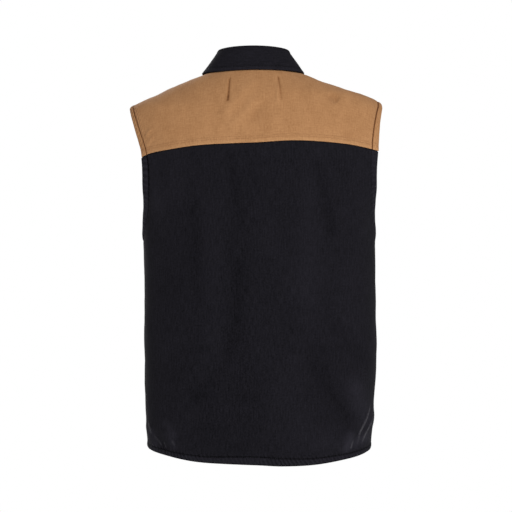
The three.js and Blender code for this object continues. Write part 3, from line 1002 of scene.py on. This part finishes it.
def black_denim():
    material, tree, shader = new_material("black_denim")
    # The groove mark darkens the tone with painted shade in the stitched grooves and painted shadow along the
    # rims
    noises, tone, relief = woven(tree, DENIM_NOISES, pucker_weight=0.14, worn=0.25, groove=-0.45)
    cloth = ramp(tree, tone, *DENIM_TONE, DENIM_DARK, DENIM_LIGHT)
    # Crease tops go pale: rubbed wear with a painted highlight
    rubbed_highlight = worked_out(tree, "MULTIPLY", mark(tree, "crease"), noises["grain"])
    looks = {
        "Base Color": mix_colour(tree, ranged(tree, rubbed_highlight, *DENIM_RUBBED_HIGHLIGHT_RANGE), cloth, DENIM_RUBBED_HIGHLIGHT),
        "Normal": relief,
        "Roughness": 0.88,
        "Specular IOR Level": 0.05,
        "Sheen Weight": 0.006,
        "Sheen Roughness": 0.5,
    }
    set_inputs(tree, shader, looks)
    return material


def tan_canvas():
    material, tree, shader = new_material("tan_canvas")
    _, tone, relief = woven(tree, CANVAS_NOISES, pucker_weight=0.09, worn=0.12)
    cloth = ramp(tree, tone, *CANVAS_TONE, CANVAS_DARK, CANVAS_LIGHT)
    # The groove mark paints shade: reddish brown at the skirts of the stitched grooves and dart creases, near
    # black in their cores
    groove = mark(tree, "groove")
    groove_skirt_shade = mix_colour(tree, ranged(tree, groove, *CANVAS_GROOVE_SKIRT_SHADE_RANGE), cloth, CANVAS_GROOVE_SKIRT_SHADE)
    looks = {
        "Base Color": mix_colour(tree, groove, groove_skirt_shade, CANVAS_GROOVE_SHADE),
        "Normal": relief,
        "Roughness": 0.9,
        "Specular IOR Level": 0.12,
        "Sheen Weight": 0.03,
    }
    set_inputs(tree, shader, looks)
    return material


def thread_material(name, dark, light):
    material, tree, shader = new_material(name)
    strands = ramp(tree, even_noise(tree, scale=900, detail=2), *THREAD_TONE, dark, light)
    set_inputs(tree, shader, {"Base Color": strands, "Roughness": 0.7, "Specular IOR Level": 0.15})
    return material


def zip_metal():
    material, tree, shader = new_material("dark_zip_metal")
    wear = even_noise(tree, scale=420, detail=3)
    looks = {
        "Base Color": ramp(tree, wear, *ZIP_TONE, ZIP_DARK, ZIP_LIGHT),
        "Roughness": ranged(tree, wear, 0.0, 1.0, *ZIP_ROUGHNESS),
        "Metallic": 0.9,
    }
    set_inputs(tree, shader, looks)
    return material


DENIM = black_denim()
CANVAS = tan_canvas()
BLACK_THREAD = thread_material("black_thread", (0.006, 0.006, 0.008, 1), (0.016, 0.016, 0.02, 1))
TAN_THREAD = thread_material("tan_thread", (0.27, 0.125, 0.05, 1), (0.42, 0.22, 0.10, 1))
BROWN_THREAD = thread_material("brown_thread", (0.055, 0.016, 0.008, 1), (0.11, 0.036, 0.018, 1))
ZIP_METAL = zip_metal()

black_stitches = Stitching()
tan_stitches = Stitching()
brown_stitches = Stitching()


def wall_faces(base, normal, rise, band):
    """Outer and inner points of a wall: thicker where an edge is turned in, and round at its borders."""
    share = rim_share(base)
    thickness = mix(CLOTH_THICKNESS, TURNED_THICKNESS, np.maximum(band, 1 - ease(share, 0, 1)))
    middle = rise - thickness / 2
    half = thickness / 2 * share
    return base + normal * (middle + half)[..., None], base + normal * (middle - half)[..., None]


# The worn mark lightens or darkens a cloth's tone: rubbed wear on its bands, painted shade and light on its
# folds, creases and patches, and a painted highlight along the yoke seam.
CLOTH_MARKS = ("turn", "pucker", "groove", "worn", "crease")


def marks_of(edges, worn, crease=None):
    """What the cloth's material reads at each point."""
    crease = np.zeros_like(worn) if crease is None else crease
    return dict(zip(CLOTH_MARKS, (edges["turn"], edges["pucker"], edges["groove"], worn, crease)))


def armhole_band(side, edge):
    return read(ARMHOLE_BAND, "height", "left" if side > 0 else "right", edge[:, 2])


def denim_panel(name, base, normal, rise, edges, worn, lines, crease=None):
    """A panel of denim, woven upright, with stitches along lines."""
    outer, inner = wall_faces(base, normal, rise, edges["band"])
    weave = np.stack([lengths_along(base, 1), base[..., 2]], axis=-1)
    black_stitches.sew(lines, surface_finder(outer))
    return cloth_piece(name, outer, inner, weave, marks_of(edges, worn, crease), DENIM)


# Back panel
def back_grid(share):
    """The back panel's angles and heights by row and column, and its top seam's height by column. The rows
    above the seam are the allowance that is tucked under the yoke."""
    sides = np.where(share < 0, -1.0, 1.0)
    edge_top = yoke_seam_height(sides) - SEAM_GAP / 2
    edge_height = np.stack([panel_rows(BACK_CELLS, height) for height in edge_top], axis=1)
    angle = share * (armhole_angle(sides, edge_height, -ARMHOLE_BACK_CUT) + SIDE_SEAM_LAP / 2)
    top = yoke_seam_height(share) - SEAM_GAP / 2
    height = row_height(edge_height, edge_top, hem_height(angle), top)
    tucked = np.linspace(0, PANEL_ALLOWANCE, BACK_CELLS["allowance"] + 1)[1:, None]
    tucked_edge = armhole_angle(sides, edge_top + tucked, -ARMHOLE_BACK_CUT) - TUCK_LEAN * tucked
    return np.concatenate([angle, share * tucked_edge]), np.concatenate([height, top + tucked]), top


def back_panel():
    share = 1 - 2 * spaced(BACK_CELLS["across"], start_gain=3, end_gain=3, zone=0.08)
    angle, height, top = back_grid(share)
    base = form(angle, height)
    armhole_rows = slice(BACK_CELLS["below"], len(base) - BACK_CELLS["allowance"])
    sewn = [stitched_edge(base, base[0], read(HEM_BAND, "share", "width", share), 1, "hem", seed=3)]
    for side, column, kind in ((1, 0, "left_armhole"), (-1, -1, "right_armhole")):
        edge = base[armhole_rows, column]
        sewn.append(stitched_edge(base, edge, armhole_band(side, edge), -side, kind, seed=5 + side))
    lines, turned = zip(*sewn)
    left_armhole = turned[1]
    groove_loss = LEFT_GROOVE_FADE["loss"] * ease(-height, LEFT_GROOVE_FADE["from"], LEFT_GROOVE_FADE["to"])
    left_armhole["groove"] = left_armhole["groove"] * (1 - groove_loss)
    edges = join_edges(turned)
    creases = crease_rise(base)
    main_folds = added_folds(base, MAIN_FOLDS) + added_folds(base, HEM_FOLDS, HEM_FOLD_FADE)
    soft_folds = merged_folds(base, SOFT_FOLDS)
    folds = main_folds + soft_folds + CREASE_RELIEF * creases + gentle_waves(base, BACK_WAVES)
    below_yoke = 1 - ease(height - top, *PANEL_FOLDS_END)
    rise = edges["rise"] + folds * below_yoke - PANEL_TUCK * ease(height - top, *PANEL_TUCK_RUN)
    # Bands are pale with rubbed wear. Folds and creases get painted shade in their valleys and painted light
    # on their ridges, and the creases' tops also get rubbed wear. The patches are painted light.
    band_wear = BAND_WEAR * edges["band"] + LEFT_BAND_WEAR * left_armhole["band"]
    fold_shading = MAIN_FOLD_SHADING * main_folds + SOFT_FOLD_SHADING * soft_folds + CREASE_WEAR_AND_SHADING * creases
    worn = band_wear + fold_shading + added_folds(base, PAINTED_LIGHT_PATCHES)
    normal = outward(angle, height)
    return denim_panel("back_panel_cloth", base, normal, rise, edges, worn, lines, np.maximum(creases, 0))


# Yoke
def shoulder_seam_outer_height(side):
    """The height at which the shoulder seam ends at the armhole's front edge."""

    def in_front(height):
        return armhole_angle(side, height, ARMHOLE_FRONT_CUT) > SHOULDER_SEAM_OUTER_ANGLE

    return float(halve(np.array(ARMPIT_HEIGHT / 2), shoulder_tip(side).astype(float), in_front))


def yoke_edge(side, column):
    """The yoke's outer edge by column from the middle of its seam: along the seam, up the back of the armhole
    to the shoulder's tip and down its front to the shoulder seam."""
    seam = YOKE_CELLS["seam"]
    back = YOKE_CELLS["armhole_back"]
    front = YOKE_CELLS["armhole_front"]
    corner_height = float(yoke_seam_height(side))
    corner = armhole_angle(side, corner_height, -ARMHOLE_BACK_CUT)
    tip = float(shoulder_tip(side))
    seam_steps = spaced(seam, start_gain=0, end_gain=4, zone=0.1)
    along_seam = np.interp(column, np.arange(seam + 1), seam_steps)
    along_back = np.clip((column - seam) / back, 0, 1)
    along_front = np.clip((column - seam - back) / front, 0, 1)
    back_height = mix(corner_height - YOKE_OVERLAP, tip, np.sin(along_back * math.pi / 2))
    front_height = mix(shoulder_seam_outer_height(side), tip, np.cos(along_front * math.pi / 2))
    places = [column <= seam, column <= seam + back]
    seam_height = yoke_seam_height(side * along_seam) - YOKE_OVERLAP
    height = np.select(places, [seam_height, back_height], front_height)
    angle = np.select(
        places,
        [along_seam * corner, armhole_angle(side, back_height, -ARMHOLE_BACK_CUT)],
        armhole_angle(side, front_height, ARMHOLE_FRONT_CUT),
    )
    return angle, height


def trim_shoulders(points):
    """Draws in the corners of the shoulders' tips, softly up to planes that face out and lean up."""
    for side, lean, reach_out in zip(*SHOULDER_CUTS.values()):
        facing = np.array([side * math.cos(math.radians(lean)), 0, math.sin(math.radians(lean))])
        short = (reach_out - points @ facing) / SHOULDER_CUT_SOFTNESS
        past = SHOULDER_CUT_SOFTNESS * (np.logaddexp(0, short) - short)
        points = points - past[..., None] * facing
    return points


def yoke_grid():
    """The yoke's angles and heights: rows from its outer edge to the neck, columns from the wearer's left."""
    half = YOKE_CELLS["seam"] + YOKE_CELLS["armhole_back"] + YOKE_CELLS["armhole_front"]
    column = np.arange(half, -half - 1, -1)
    up = spaced(YOKE_CELLS["up"], start_gain=5, end_gain=2, zone=0.07)[:, None]
    angles = np.zeros((len(up), len(column)))
    heights = np.zeros_like(angles)
    for side, chosen in ((1, column >= 0), (-1, column < 0)):
        edge_angle, edge_height = yoke_edge(side, np.abs(column[chosen]))
        neck_angle = np.abs(column[chosen]) / half * SHOULDER_SEAM_NECK_ANGLE
        neck_height = ring_height(NECK_RING, side * neck_angle) - SEAM_GAP / 2
        angles[:, chosen] = side * mix(edge_angle, neck_angle, up)
        heights[:, chosen] = mix(edge_height, neck_height, up)
    return angles, heights


def back_yoke():
    angles, heights = yoke_grid()
    base = trim_shoulders(form(angles, heights))
    corner_left = YOKE_CELLS["armhole_back"] + YOKE_CELLS["armhole_front"]
    corner_right = base.shape[1] - 1 - corner_left
    seam_edge = base[0, corner_left : corner_right + 1]
    sewn = [stitched_edge(base, seam_edge, YOKE_SEAM_BAND, 1, "yoke_seam", seed=21)]
    armhole_edges = {1: base[0, : corner_left + 1], -1: base[0, corner_right:]}
    for side, kind in ((1, "left_yoke"), (-1, "right_yoke")):
        band = armhole_band(side, armhole_edges[side])
        sewn.append(stitched_edge(base, armhole_edges[side], band, 1, kind, seed=25 + side, lean=side))
    (seam_line, *armhole_lines), turned = zip(*sewn)
    seam_finish = FINISHES["yoke_seam"]
    second_line = inset(seam_edge, YOKE_SECOND_ROW, 1)
    second_groove = bell(reach(base, second_line)[0], seam_finish["line"])
    turned[0]["groove"] = np.maximum(turned[0]["groove"], seam_finish["dark"] * second_groove)
    edges = join_edges(turned)
    darts, dart_shade = dart_sink(base)
    edges["groove"] = np.maximum(edges["groove"], dart_shade)
    from_seam = reach(base, seam_edge)[0]
    folds = added_folds(base, YOKE_FOLDS, YOKE_FOLD_FADE)
    uneven = (folds + gentle_waves(base, YOKE_WAVES)) * ease(from_seam, *YOKE_FOLDS_CLEAR)
    lap = YOKE_LAP * bell(from_seam, YOKE_LAP_WIDTH) - seam_finish["groove"] * second_groove
    rise = edges["rise"] + uneven + lap - darts
    outer, inner = wall_faces(base, outward(angles, heights), rise, edges["band"])
    roll = np.arctan2(base[..., 1], base[..., 2] - YOKE_ROLL["height"])
    weave = np.stack([base[..., 0], -YOKE_ROLL["radius"] * roll], axis=-1)
    # Painted highlight along the yoke seam, with rubbed wear, and painted shade and light on the yoke's folds
    seam_wear_and_highlight = sum(wear * bell(from_seam, width) for wear, width in YOKE_SEAM_WEAR_AND_HIGHLIGHT)
    marks = marks_of(edges, seam_wear_and_highlight + YOKE_FOLD_SHADING * folds)
    shoulder_lines = [inset(base[:, column], SHOULDER_BAND, turn) for column, turn in ((0, -1), (-1, 1))]

    def clear_of_bands(spot):
        return all(reach(spot[None], line)[0][0] > BAND_CLEARANCE for line in armhole_lines)

    finder = surface_finder(outer)
    tan_stitches.sew([seam_line, second_line], finder, keep=clear_of_bands)
    tan_stitches.sew(shoulder_lines, finder)
    brown_stitches.sew(armhole_lines, finder)
    return cloth_piece("back_yoke_cloth", outer, inner, weave, marks, CANVAS)


# Fronts
def front_grid(side):
    """A front's angles and heights: rows up from the hem, columns in the same sense as the back's."""
    neck_step = FRONT_CELLS["neck"] / (FRONT_CELLS["neck"] + FRONT_CELLS["shoulder"])
    neck_share = (math.pi - SHOULDER_SEAM_NECK_ANGLE) / (math.pi - SHOULDER_SEAM_OUTER_ANGLE)
    below_neck = spaced(FRONT_CELLS["neck"], start_gain=4, end_gain=0, zone=0.12)
    below_seam = spaced(FRONT_CELLS["shoulder"], start_gain=0, end_gain=4, zone=0.12)
    step = np.concatenate([neck_step * below_neck, mix(neck_step, 1, below_seam)[1:]])
    if side < 0:
        step = step[::-1]
    seam_share = np.clip((step - neck_step) / (1 - neck_step), 0, 1)
    share = np.where(step < neck_step, step / neck_step * neck_share, mix(neck_share, 1, seam_share))
    edge_top = shoulder_seam_outer_height(side) + SHOULDER_SEAM_LAP
    neck_end = float(ring_height(NECK_RING, side * SHOULDER_SEAM_NECK_ANGLE)) + SHOULDER_SEAM_LAP
    edge_height = panel_rows(FRONT_CELLS, edge_top)[:, None]
    edge = armhole_angle(side, edge_height, ARMHOLE_FRONT_CUT) - SIDE_SEAM_LAP / 2
    plain_angle = math.pi - share * (math.pi - edge)
    top_angle = math.pi - share * (math.pi - SHOULDER_SEAM_OUTER_ANGLE)
    neck = ring_height(NECK_RING, side * top_angle) - SEAM_GAP
    top = np.where(seam_share > 0, mix(neck_end, edge_top, seam_share), neck)
    edge_heights = np.broadcast_to(edge_height, plain_angle.shape)
    height = row_height(edge_heights, edge_top, hem_height(plain_angle), top)
    zip_angle = math.pi - np.arcsin(ZIP_OPENING / 2 / read(SECTIONS, "height", "front", height))
    return side * (zip_angle - share * (zip_angle - edge)), height


def front_panel(side, name, waves):
    angle, height = front_grid(side)
    base = form(angle, height)
    zip_column, side_column = (0, -1) if side > 0 else (-1, 0)
    zip_edge = base[:, zip_column]
    armhole_edge = base[FRONT_CELLS["below"] :, side_column]
    band = armhole_band(side, armhole_edge)
    hem_width = float(HEM_BAND["width"][0])
    sewn = [
        stitched_edge(base, base[0], hem_width, 1, "hem", seed=41 + side),
        stitched_edge(base, zip_edge, ZIP_BAND, -side, "plain", seed=44 + side),
        stitched_edge(base, armhole_edge, band, side, "plain", seed=47 + side),
    ]
    lines, turned = zip(*sewn)
    edges = join_edges(turned)
    normal = outward(angle, height)
    rise = edges["rise"] + gentle_waves(base, waves)
    return denim_panel(name, base, normal, rise, edges, BAND_WEAR * edges["band"], lines)


# Collar
def from_back(values, forward):
    """A value that changes from the collar's back to its front."""
    return mix(values["back"], values["front"], forward)


def collar_curves(angle):
    """The middle lines of the collar's sections as the points that steer them."""
    forward = ease(np.abs(angle), COLLAR_FRONT_START, math.pi)
    radial = np.stack([np.sin(angle), np.cos(angle), np.zeros_like(angle)], axis=-1)
    up = np.array([0, 0, 1.0])
    neck_height = ring_height(NECK_RING, angle) - from_back(COLLAR_SEAT_DROP, forward)
    seat_depth = from_back(COLLAR_SEAT_DEPTH, forward)
    seat = form(angle, neck_height) - outward(angle, neck_height) * seat_depth[:, None]
    fold_height = from_back(FOLD_HEIGHT, forward) - FOLD_DROOP * (1 - np.cos(angle))
    lean = np.array([COLLAR_LEAN, 0, 0])
    stand_top = radial * ring_radius(FOLD_RING, angle)[:, None] + up * fold_height[:, None] + lean
    fold_top = stand_top + (radial + up) * FOLD_RADIUS
    leaf_top = stand_top + radial * 2 * FOLD_RADIUS
    edge_angle = angle * (1 - COLLAR_POINT_SPREAD * forward**COLLAR_POINT_BEND)
    edge_height = ring_height(LEAF_RING, edge_angle) - COLLAR_TILT * np.sin(edge_angle)
    stand_off = LEAF_STAND_OFF + TURNED_THICKNESS / 2
    leaf_edge = form(edge_angle, edge_height) + outward(edge_angle, edge_height) * stand_off
    bulge = (leaf_top + leaf_edge) / 2 + radial * from_back(LEAF_BULGE, forward)[:, None]
    return [
        (seat, (seat + stand_top) / 2, stand_top),
        (stand_top, stand_top + up * FOLD_RADIUS, fold_top),
        (fold_top, leaf_top + up * FOLD_RADIUS, leaf_top),
        (leaf_top, bulge, leaf_edge),
    ]


def collar():
    across = spaced(COLLAR_CELLS["across"], start_gain=3, end_gain=3, zone=0.03)
    round_fold = np.linspace(0, 1, COLLAR_CELLS["fold"] + 1)[:-1]
    up_stand = spaced(COLLAR_CELLS["stand"], start_gain=2, end_gain=0, zone=0.1)[:-1]
    down_leaf = spaced(COLLAR_CELLS["leaf"], start_gain=0, end_gain=5, zone=0.12)
    rows = []
    curves = collar_curves(COLLAR_END_ANGLE * (1 - 2 * across))
    for (start, bend, end), shares in zip(curves, (up_stand, round_fold, round_fold, down_leaf)):
        for share in shares:
            rows.append(mix(mix(start, bend, share), mix(bend, end, share), share))
    base = np.stack(rows)
    normal = unit(np.cross(np.gradient(base, axis=1), np.gradient(base, axis=0)))
    leaf_start = len(base) - len(down_leaf)
    leaf = base[leaf_start:]
    from_edge = np.cumsum(np.linalg.norm(np.diff(leaf[::-1], axis=0), axis=-1), axis=0).mean(axis=1)
    stitch_row = len(base) - 2 - int(np.argmin(np.abs(from_edge - COLLAR_BAND)))
    edges = turned_edge(base, base[-1], base[stitch_row], "collar", seed=61)
    row = np.arange(len(base))[:, None]
    on_leaf = ease(row, leaf_start - LEAF_BLEND_ROWS, leaf_start + LEAF_BLEND_ROWS)
    rise = (edges["rise"] + gentle_waves(base, COLLAR_WAVES)) * on_leaf
    edges["groove"] = edges["groove"] * on_leaf
    edges["pucker"] = edges["pucker"] * on_leaf
    middle = base - normal * rise[..., None]
    half = normal * (TURNED_THICKNESS / 2 * rim_share(base))[..., None]
    weave = np.stack([lengths_along(base, 0), lengths_along(base, 1)], axis=-1)
    marks = marks_of(edges, (COLLAR_WEAR + COLLAR_BAND_WEAR * edges["band"]) * on_leaf)
    black_stitches.sew([middle[stitch_row]], surface_finder(middle - half), out=-1)
    return cloth_piece("collar_cloth", middle + half, middle - half, weave, marks, DENIM)


# Zip: sizes across, up and out, rounding of the edges, and how far under the zip's top and out from the cloth
ZIP_CHAIN_DEPTH = -1.6
ZIP_END_GAP = 4
TAPE_SINK = 0.6
TAPE_THICKNESS = 1.0
TOOTH_PITCH = 2.3
TOOTH_SHIFT = 0.9
TOOTH = {"size": (4.4, 1.3, 2.2), "bevel": 0.3}
SLIDER = {"size": (8.4, 13.0, 4.2), "bevel": 1.4, "drop": 13.0, "depth": 1.2}
PULL = {"size": (6.0, 30.0, 1.5), "bevel": 0.7, "drops": (43.0, 13.0), "depths": (1.6, 4.6)}
BRIDGE = {"size": (3.2, 7.0, 2.6), "bevel": 0.8, "drop": 14.0, "depth": 4.0}


def zip_frame(height, depth):
    """Points up the centre front at a depth from the cloth's face, with the directions up and out."""
    height = np.asarray(height, float)
    angle = np.full_like(height, math.pi)
    out = outward(angle, height)
    climb = 0.5
    up = unit(form(angle, height + climb) - form(angle, height - climb))
    return form(angle, height) + out * depth, up, out


def zip_heights():
    top = float(ring_height(NECK_RING, math.pi)) - SEAM_GAP
    return float(hem_height(math.pi)), top


def zip_tape():
    height = np.linspace(*zip_heights(), ZIP_TAPE_CELLS["up"] + 1)
    points, _, out = zip_frame(height, -TURNED_THICKNESS - SEAM_GAP)
    across = np.linspace(-ZIP_TAPE_WIDTH / 2, ZIP_TAPE_WIDTH / 2, ZIP_TAPE_CELLS["across"] + 1)
    base = points[:, None] + across[None, :, None] * np.array([1.0, 0, 0])
    normal = np.broadcast_to(out[:, None], base.shape)
    middle = base - normal * TAPE_SINK
    half = normal * TAPE_THICKNESS / 2 * rim_share(base)[..., None]
    weave = np.stack([base[..., 0], base[..., 2]], axis=-1)
    marks = {key: np.zeros(base.shape[:2]) for key in CLOTH_MARKS}
    return cloth_piece("zip_tape", middle + half, middle - half, weave, marks, DENIM)


def rounded_block(size, bevel):
    """A small block with rounded edges, as a loose shape."""
    block = bmesh.new()
    bmesh.ops.create_cube(block, size=1)
    bmesh.ops.scale(block, vec=size, verts=block.verts)
    bmesh.ops.bevel(
        block, geom=list(block.edges), offset=bevel, segments=2, profile=0.5, affect="EDGES", material=-1
    )
    return block


def zip_metalwork():
    """The chain's teeth, the slider, its pull and the bridge that holds the pull, in one mesh."""
    bottom, top = zip_heights()
    parts = []
    heights = np.arange(bottom + ZIP_END_GAP, top - ZIP_END_GAP, TOOTH_PITCH)
    for index, (point, up, out) in enumerate(zip(*zip_frame(heights, ZIP_CHAIN_DEPTH))):
        side = 1 if index % 2 else -1
        parts.append((TOOTH, point + np.array([side * TOOTH_SHIFT, 0, 0]), up, out))
    pull_ends, _, pull_outs = zip_frame(top - np.array(PULL["drops"]), np.array(PULL["depths"])[:, None])
    pull_up = unit(pull_ends[1] - pull_ends[0])
    pull_out = unit(pull_outs[0] - pull_up * (pull_outs[0] @ pull_up))
    parts += [
        (SLIDER, *zip_frame(top - SLIDER["drop"], SLIDER["depth"])),
        (PULL, pull_ends.mean(axis=0), pull_up, pull_out),
        (BRIDGE, *zip_frame(top - BRIDGE["drop"], BRIDGE["depth"])),
    ]
    metal = bmesh.new()
    for part, place, up, out in parts:
        block = rounded_block(part["size"], part["bevel"])
        turned = np.stack([np.cross(up, out), up, out], axis=1)
        for vertex in block.verts:
            vertex.co = ((turned @ np.array(vertex.co)) + place) * METRE
        copy = bpy.data.meshes.new("block")
        block.to_mesh(copy)
        block.free()
        metal.from_mesh(copy)
        bpy.data.meshes.remove(copy)
    return shape_piece("zip_metalwork", metal, ZIP_METAL)


# The pieces
yoke_cloth = back_yoke()
back_cloth = back_panel()
left_cloth = front_panel(1, "front_left_cloth", LEFT_FRONT_WAVES)
right_cloth = front_panel(-1, "front_right_cloth", RIGHT_FRONT_WAVES)
collar_cloth = collar()
tape = zip_tape()
metalwork = zip_metalwork()
black_sewing = black_stitches.piece("black_stitching", BLACK_THREAD)
tan_sewing = tan_stitches.piece("tan_stitching", TAN_THREAD)
brown_sewing = brown_stitches.piece("brown_stitching", BROWN_THREAD)

for piece, node, slot in (
    (yoke_cloth, "back_yoke", "canvas"),
    (back_cloth, "back_panel", "denim"),
    (left_cloth, "front_left", "denim"),
    (right_cloth, "front_right", "denim"),
    (collar_cloth, "collar", "denim"),
    (metalwork, "front_zip", "zip_metal"),
):
    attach(piece, "root")
    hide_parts(node)
for piece, slot in (
    (tape, "denim"),
    (black_sewing, "denim"),
    (tan_sewing, "canvas"),
    (brown_sewing, "canvas"),
):
    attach(piece, "root")


# Studio
def studio():
    scene = bpy.context.scene
    scene.view_settings.view_transform = "Standard"
    world = bpy.data.worlds.new("studio")
    world.use_nodes = True
    scene.world = world
    tree = world.node_tree
    tree.nodes.clear()
    seen = add_node(tree, "ShaderNodeBackground", {"Color": WHITE, "Strength": 1.0}).outputs[0]
    light = add_node(tree, "ShaderNodeBackground", {"Color": WHITE, "Strength": ROOM_LIGHT}).outputs[0]
    direct = add_node(tree, "ShaderNodeLightPath").outputs["Is Camera Ray"]
    choice = add_node(tree, "ShaderNodeMixShader", {0: direct, 1: light, 2: seen}).outputs[0]
    add_node(tree, "ShaderNodeOutputWorld", {0: choice})
    for lamp in STUDIO_LAMPS:
        data = bpy.data.lights.new(lamp["name"], "AREA")
        data.energy = lamp["power"]
        data.size = lamp["size"]
        thing = bpy.data.objects.new(lamp["name"], data)
        thing.location = lamp["place"]
        aim = Vector(VEST_MIDDLE) - thing.location
        thing.rotation_euler = aim.to_track_quat("-Z", "Y").to_euler()
        thing.visible_camera = False
        scene.collection.objects.link(thing)


def pale_floor():
    material, tree, shader = new_material("pale_floor")
    place = add_node(tree, "ShaderNodeTexCoord").outputs["Object"]
    flat = add_node(tree, "ShaderNodeMapping", {"Vector": place, "Scale": (1, 1, 0)}).outputs[0]
    away = add_node(tree, "ShaderNodeVectorMath", {0: flat}, operation="LENGTH").outputs["Value"]
    glows = (FLOOR_GLOW, FLOOR_EDGE_GLOW)
    looks = {
        "Base Color": FLOOR_COLOUR,
        "Roughness": 0.9,
        "Emission Color": WHITE,
        "Emission Strength": ranged(tree, away, *FLOOR_GLOW_RUN, *glows, interpolation_type="SMOOTHSTEP"),
    }
    set_inputs(tree, shader, looks)
    disc = bmesh.new()
    bmesh.ops.create_circle(disc, cap_ends=True, segments=FLOOR_CORNERS, radius=FLOOR_RADIUS)
    bmesh.ops.translate(disc, vec=(0, 0, FLOOR_HEIGHT), verts=disc.verts)
    return shape_piece("floor", disc, material)


studio()
pale_floor()
